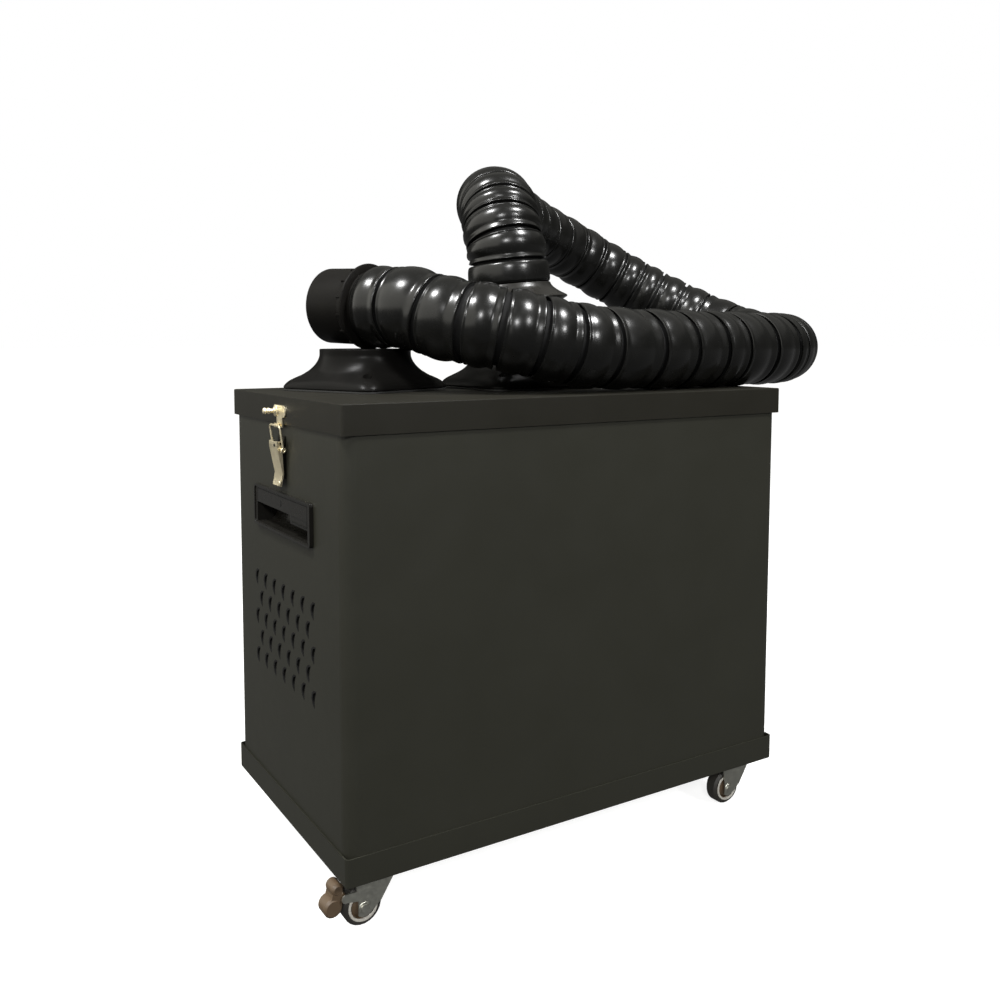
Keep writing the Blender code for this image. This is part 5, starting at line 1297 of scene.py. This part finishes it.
@dataclass
class CarryHandle:
    """The grip plate's thin near-black lines, painted shade along its grooves, and its oval mark."""

    end: End
    face_out: float = 0.0030
    line: float = 0.0006
    proud: float = 0.0002
    low: float = 0.3712
    high: float = 0.3922
    half: float = 0.0705
    ledge: float = -0.0255
    short_low: float = 0.3790
    # A ridge's shoulder, as a share of its height, and its slope's width, as a share of the line's.
    shoulder_share: float = 0.4
    slope_share: float = 0.25
    # The oval mark: its height, half its width and height, its top's size, and its sides.
    mark_z: float = 0.3855
    mark_half: tuple[float, float] = (0.0016, 0.0034)
    mark_top_share: float = 0.7
    mark_sides: int = 32

    def bar(self, y0: float, z0: float, y1: float, z1: float) -> Mesh:
        """Shape a thin ridge with sloping sides between two corners of the plate.

        Args:
            y0: one corner's place along Y.
            z0: its height.
            y1: the other corner's place along Y.
            z1: its height.

        Returns:
            The points and the faces.
        """
        rings = []
        shoulder, slope = self.proud * self.shoulder_share, self.line * self.slope_share
        for inset, out in ((0, -self.proud), (0, shoulder), (slope, self.proud)):
            a, b, c, d = y0 + inset, z0 + inset, y1 - inset, z1 - inset
            x = -WALL_X - self.face_out - out
            rings.append([(x, a, b), (x, a, d), (x, c, d), (x, c, b)])
        return lofted(rings)

    def mark(self) -> Mesh:
        """Shape the oval mark.

        Returns:
            The points and the faces.
        """
        wide, high = self.mark_half
        rings = []
        round_mark = circle(1.0, 0.0, self.mark_sides)
        sizes = ((1.0, -self.proud), (1.0, self.proud / 2), (self.mark_top_share, self.proud))
        for size, out in sizes:
            x, z = -WALL_X - self.face_out - out, self.mark_z
            rings.append([(x, wide * size * a, z - high * size * b) for a, b, _ in round_mark])
        return lofted(rings)

    def build(self) -> None:
        """Make the lines of painted shade and the mark."""
        low, high, left, right = self.low, self.high, self.half, -self.half
        bars = (
            (right, high, left, high + self.line),
            (right - self.line, low, right, high + self.line),
            (right, low, self.ledge, low + self.line),
            (left, self.short_low, left + self.line, high + self.line),
        )
        groove_shade_and_mark = merged([*(self.bar(*bar) for bar in bars), self.mark()])
        # The near-black lines paint the shade in the grip plate's border grooves.
        made = piece(f"grip_groove_shade_and_mark_{self.end.value}", *copied(groove_shade_and_mark, self.end.turned()), SHADE_BLACK)
        set_piece(made, "cabinet", "black_plastic")


@dataclass
class ControlEnd:
    """The printed marks on the right end: a scale round the knob, and on and off beside the switch."""

    knob: tuple[float, float] = (0.030, 0.270)
    switch: tuple[float, float] = (-0.040, 0.270)
    ink: float = 0.0001
    ticks: int = 11
    first_tick: float = math.radians(225)
    last_tick: float = math.radians(-45)
    long_every: int = 5
    tick_inner: float = 0.0142
    # A tick's outer radius and half its width: a short one's, and a long one's.
    short_tick: tuple[float, float] = (0.0160, 0.0003)
    long_tick: tuple[float, float] = (0.0170, 0.0005)
    # The line for on: half its width, and the heights of its ends above the switch's middle.
    on_mark: tuple[float, float, float] = (0.0003, 0.0145, 0.0175)
    # The circle for off: its two radii, and how far below the switch's middle it is.
    off_mark: tuple[float, float, float] = (0.0017, 0.0011, 0.0162)
    off_sides: int = 32

    def plate(self, outline: Sequence[tuple[float, float]]) -> Mesh:
        """An outline on the right end's wall, as thick as ink."""
        return lofted([[(WALL_X + out, y, z) for y, z in outline] for out in (-self.ink, self.ink)])

    def scale(self) -> list[Mesh]:
        """Shape the ticks round the knob.

        Returns:
            Each tick's points and faces.
        """
        parts = []
        for k in range(self.ticks):
            angle = self.first_tick + (self.last_tick - self.first_tick) * k / (self.ticks - 1)
            outer, half = self.short_tick if k % self.long_every else self.long_tick
            ray = Vector((math.cos(angle), math.sin(angle)))
            side = Vector((-ray.y, ray.x)) * half
            near, far = ray * self.tick_inner, ray * outer
            corners = (near - side, far - side, far + side, near + side)
            parts.append(self.plate([(self.knob[0] + c.x, self.knob[1] + c.y) for c in corners]))
        return parts

    def build(self) -> None:
        """Print the marks."""
        y, z = self.switch
        half, low, high = self.on_mark
        corners = ((-half, low), (half, low), (half, high), (-half, high))
        line = self.plate([(y + a, z + b) for a, b in corners])
        outer, inner, below = self.off_mark
        rings = []
        for radius, out in ((outer, -self.ink), (outer, self.ink), (inner, self.ink), (inner, -self.ink)):
            x, middle = WALL_X + out, z - below
            rings.append([(x, y + a, middle + b) for a, b, _ in circle(radius, 0.0, self.off_sides)])
        marks = merged([*self.scale(), line, lofted(rings, closed=True)])
        made = piece("control_marks", *marks, PRINTING_INK)
        set_piece(made, "cabinet", "powder_coat")


@dataclass
class Studio:
    """The camera, the pale floor and the lights round the machine."""

    eye: Point = (-0.6154, -0.9372, 0.5519)
    yaw: float = 0.54082
    pitch: float = 0.07794
    lens_mm: float = 35.12
    shift: tuple[float, float] = (0.03, -0.085)
    floor_reach: float = 60.0
    floor_gap: float = 0.0004
    # How bright the floor looks, and how much light it gives to all else.
    floor_seen: float = 0.86
    floor_light: float = 0.15
    # Round ceiling lamps, which all face the hose: place, width and watts.
    lamps: dict[str, tuple[Point, float, float]] = field(default_factory=lambda: {
        "near_lamp_left": ((-1.23, 0.05, 2.60), 0.48, 85),
        "near_lamp_right": ((0.70, -1.01, 2.60), 0.48, 85),
        "far_lamp_left": ((-2.40, -3.69, 2.60), 0.62, 115),
        "far_lamp_right": ((0.84, -4.32, 2.60), 0.62, 115),
    })
    target: Point = (0.0, 0.0, 0.5)
    # Soft lights from one side: where from, their light on a surface that faces them, and width in degrees.
    soft_lights: dict[str, tuple[Point, float, float]] = field(default_factory=lambda: {
        "overhead_sky": ((0.0, 0.0, 1.0), 0.5, 130),
        "left_window": ((-1.0, 0.2, 0.18), 3.3, 100),
    })
    warm_white: str = "fffdf4"

    def camera(self) -> None:
        """Stand the camera where the photograph was taken from."""
        data = bpy.data.cameras.new("camera")
        data.lens = self.lens_mm
        data.shift_x, data.shift_y = self.shift
        level = math.cos(self.pitch)
        ahead = Vector((math.sin(self.yaw) * level, math.cos(self.yaw) * level, -math.sin(self.pitch)))
        camera = bpy.data.objects.new("camera", data)
        camera.location = self.eye
        camera.rotation_euler = ahead.to_track_quat("-Z", "Y").to_euler()
        bpy.context.scene.collection.objects.link(camera)
        bpy.context.scene.camera = camera

    def floor(self) -> None:
        """Lay a plain pale floor, which looks white and lights the machine only a little from below."""
        material = bpy.data.materials.new("pale_studio_floor")
        material.use_nodes = True
        tree = material.node_tree
        shader = tree.nodes["Principled BSDF"]
        shader.inputs["Base Color"].default_value = linear("a0a09e")
        shader.inputs["Roughness"].default_value = 0.9
        shader.inputs["Specular IOR Level"].default_value = 0.1
        shader.inputs["Emission Color"].default_value = linear("ffffff")
        shader.inputs["Emission Strength"].default_value = self.floor_seen
        seen = add_node(tree, "ShaderNodeLightPath").outputs["Is Camera Ray"]
        inputs = {"Color": linear("ffffff"), "Strength": self.floor_light}
        dim = add_node(tree, "ShaderNodeEmission", inputs).outputs[0]
        both = add_node(tree, "ShaderNodeMixShader", {0: seen, 1: dim, 2: shader.outputs[0]}).outputs[0]
        tree.links.new(both, tree.nodes["Material Output"].inputs["Surface"])
        reach = self.floor_reach
        mesh = bpy.data.meshes.new("floor")
        corners = [(-reach, -reach, 0), (reach, -reach, 0), (reach, reach, 0), (-reach, reach, 0)]
        mesh.from_pydata(corners, [], [(0, 1, 2, 3)])
        mesh.materials.append(material)
        floor = bpy.data.objects.new("floor", mesh)
        floor.location.z = -self.floor_gap
        bpy.context.scene.collection.objects.link(floor)

    def hang(self, name: str, data: bpy.types.Light, place: Point, back: Vector) -> None:
        """Put a light into the scene.

        Args:
            name: the light's name.
            data: the light.
            place: where it hangs.
            back: the direction that its back faces.
        """
        light = bpy.data.objects.new(name, data)
        light.location = place
        light.rotation_euler = back.to_track_quat("Z", "Y").to_euler()
        bpy.context.scene.collection.objects.link(light)

    def lights(self) -> None:
        """Hang two rows of ceiling lamps, a soft sky and a wide soft light from the left."""
        for name, (place, size, watts) in self.lamps.items():
            lamp = bpy.data.lights.new(name, "AREA")
            lamp.shape = "DISK"
            lamp.size = size
            lamp.energy = watts
            self.hang(name, lamp, place, Vector(place) - Vector(self.target))
        for name, (towards, strength, width) in self.soft_lights.items():
            sun = bpy.data.lights.new(name, "SUN")
            sun.energy = strength
            sun.angle = math.radians(width)
            sun.color = linear(self.warm_white)[:3]
            self.hang(name, sun, (0.0, 0.0, 0.0), Vector(towards))

    def surroundings(self) -> None:
        """Let the surroundings look white, and give the machine a dim even light."""
        world = bpy.data.worlds.new("studio")
        world.use_nodes = True
        tree = world.node_tree
        tree.nodes.clear()
        seen = add_node(tree, "ShaderNodeLightPath").outputs["Is Camera Ray"]
        dim, white = (
            add_node(tree, "ShaderNodeBackground", {"Color": linear(colour)}).outputs[0]
            for colour in ("3c3c3a", "ffffff")
        )
        both = add_node(tree, "ShaderNodeMixShader", {0: seen, 1: dim, 2: white}).outputs[0]
        add_node(tree, "ShaderNodeOutputWorld", {"Surface": both})
        bpy.context.scene.world = world
        bpy.context.scene.view_settings.view_transform = "Standard"

    def build(self) -> None:
        """Set up the whole studio."""
        self.camera()
        self.floor()
        self.lights()
        self.surroundings()


def main() -> None:
    """Build every piece round the frame."""
    logging.basicConfig(level=logging.INFO, format="%(name)s: %(message)s")
    Studio().build()
    RibbedHose().build()
    InletFlange(End.LEFT, LEFT_INLET, LEFT_INLET_TURN).build()
    InletFlange(End.RIGHT, RIGHT_INLET, 0.0).build()
    for corner in Corner:
        Caster(corner).build()
    AirSlots().build()
    for end in End:
        ToggleLatch(end).build()
        CarryHandle(end).build()
    ControlEnd().build()
    dress_nodes()


if __name__ == "__main__":
    main()
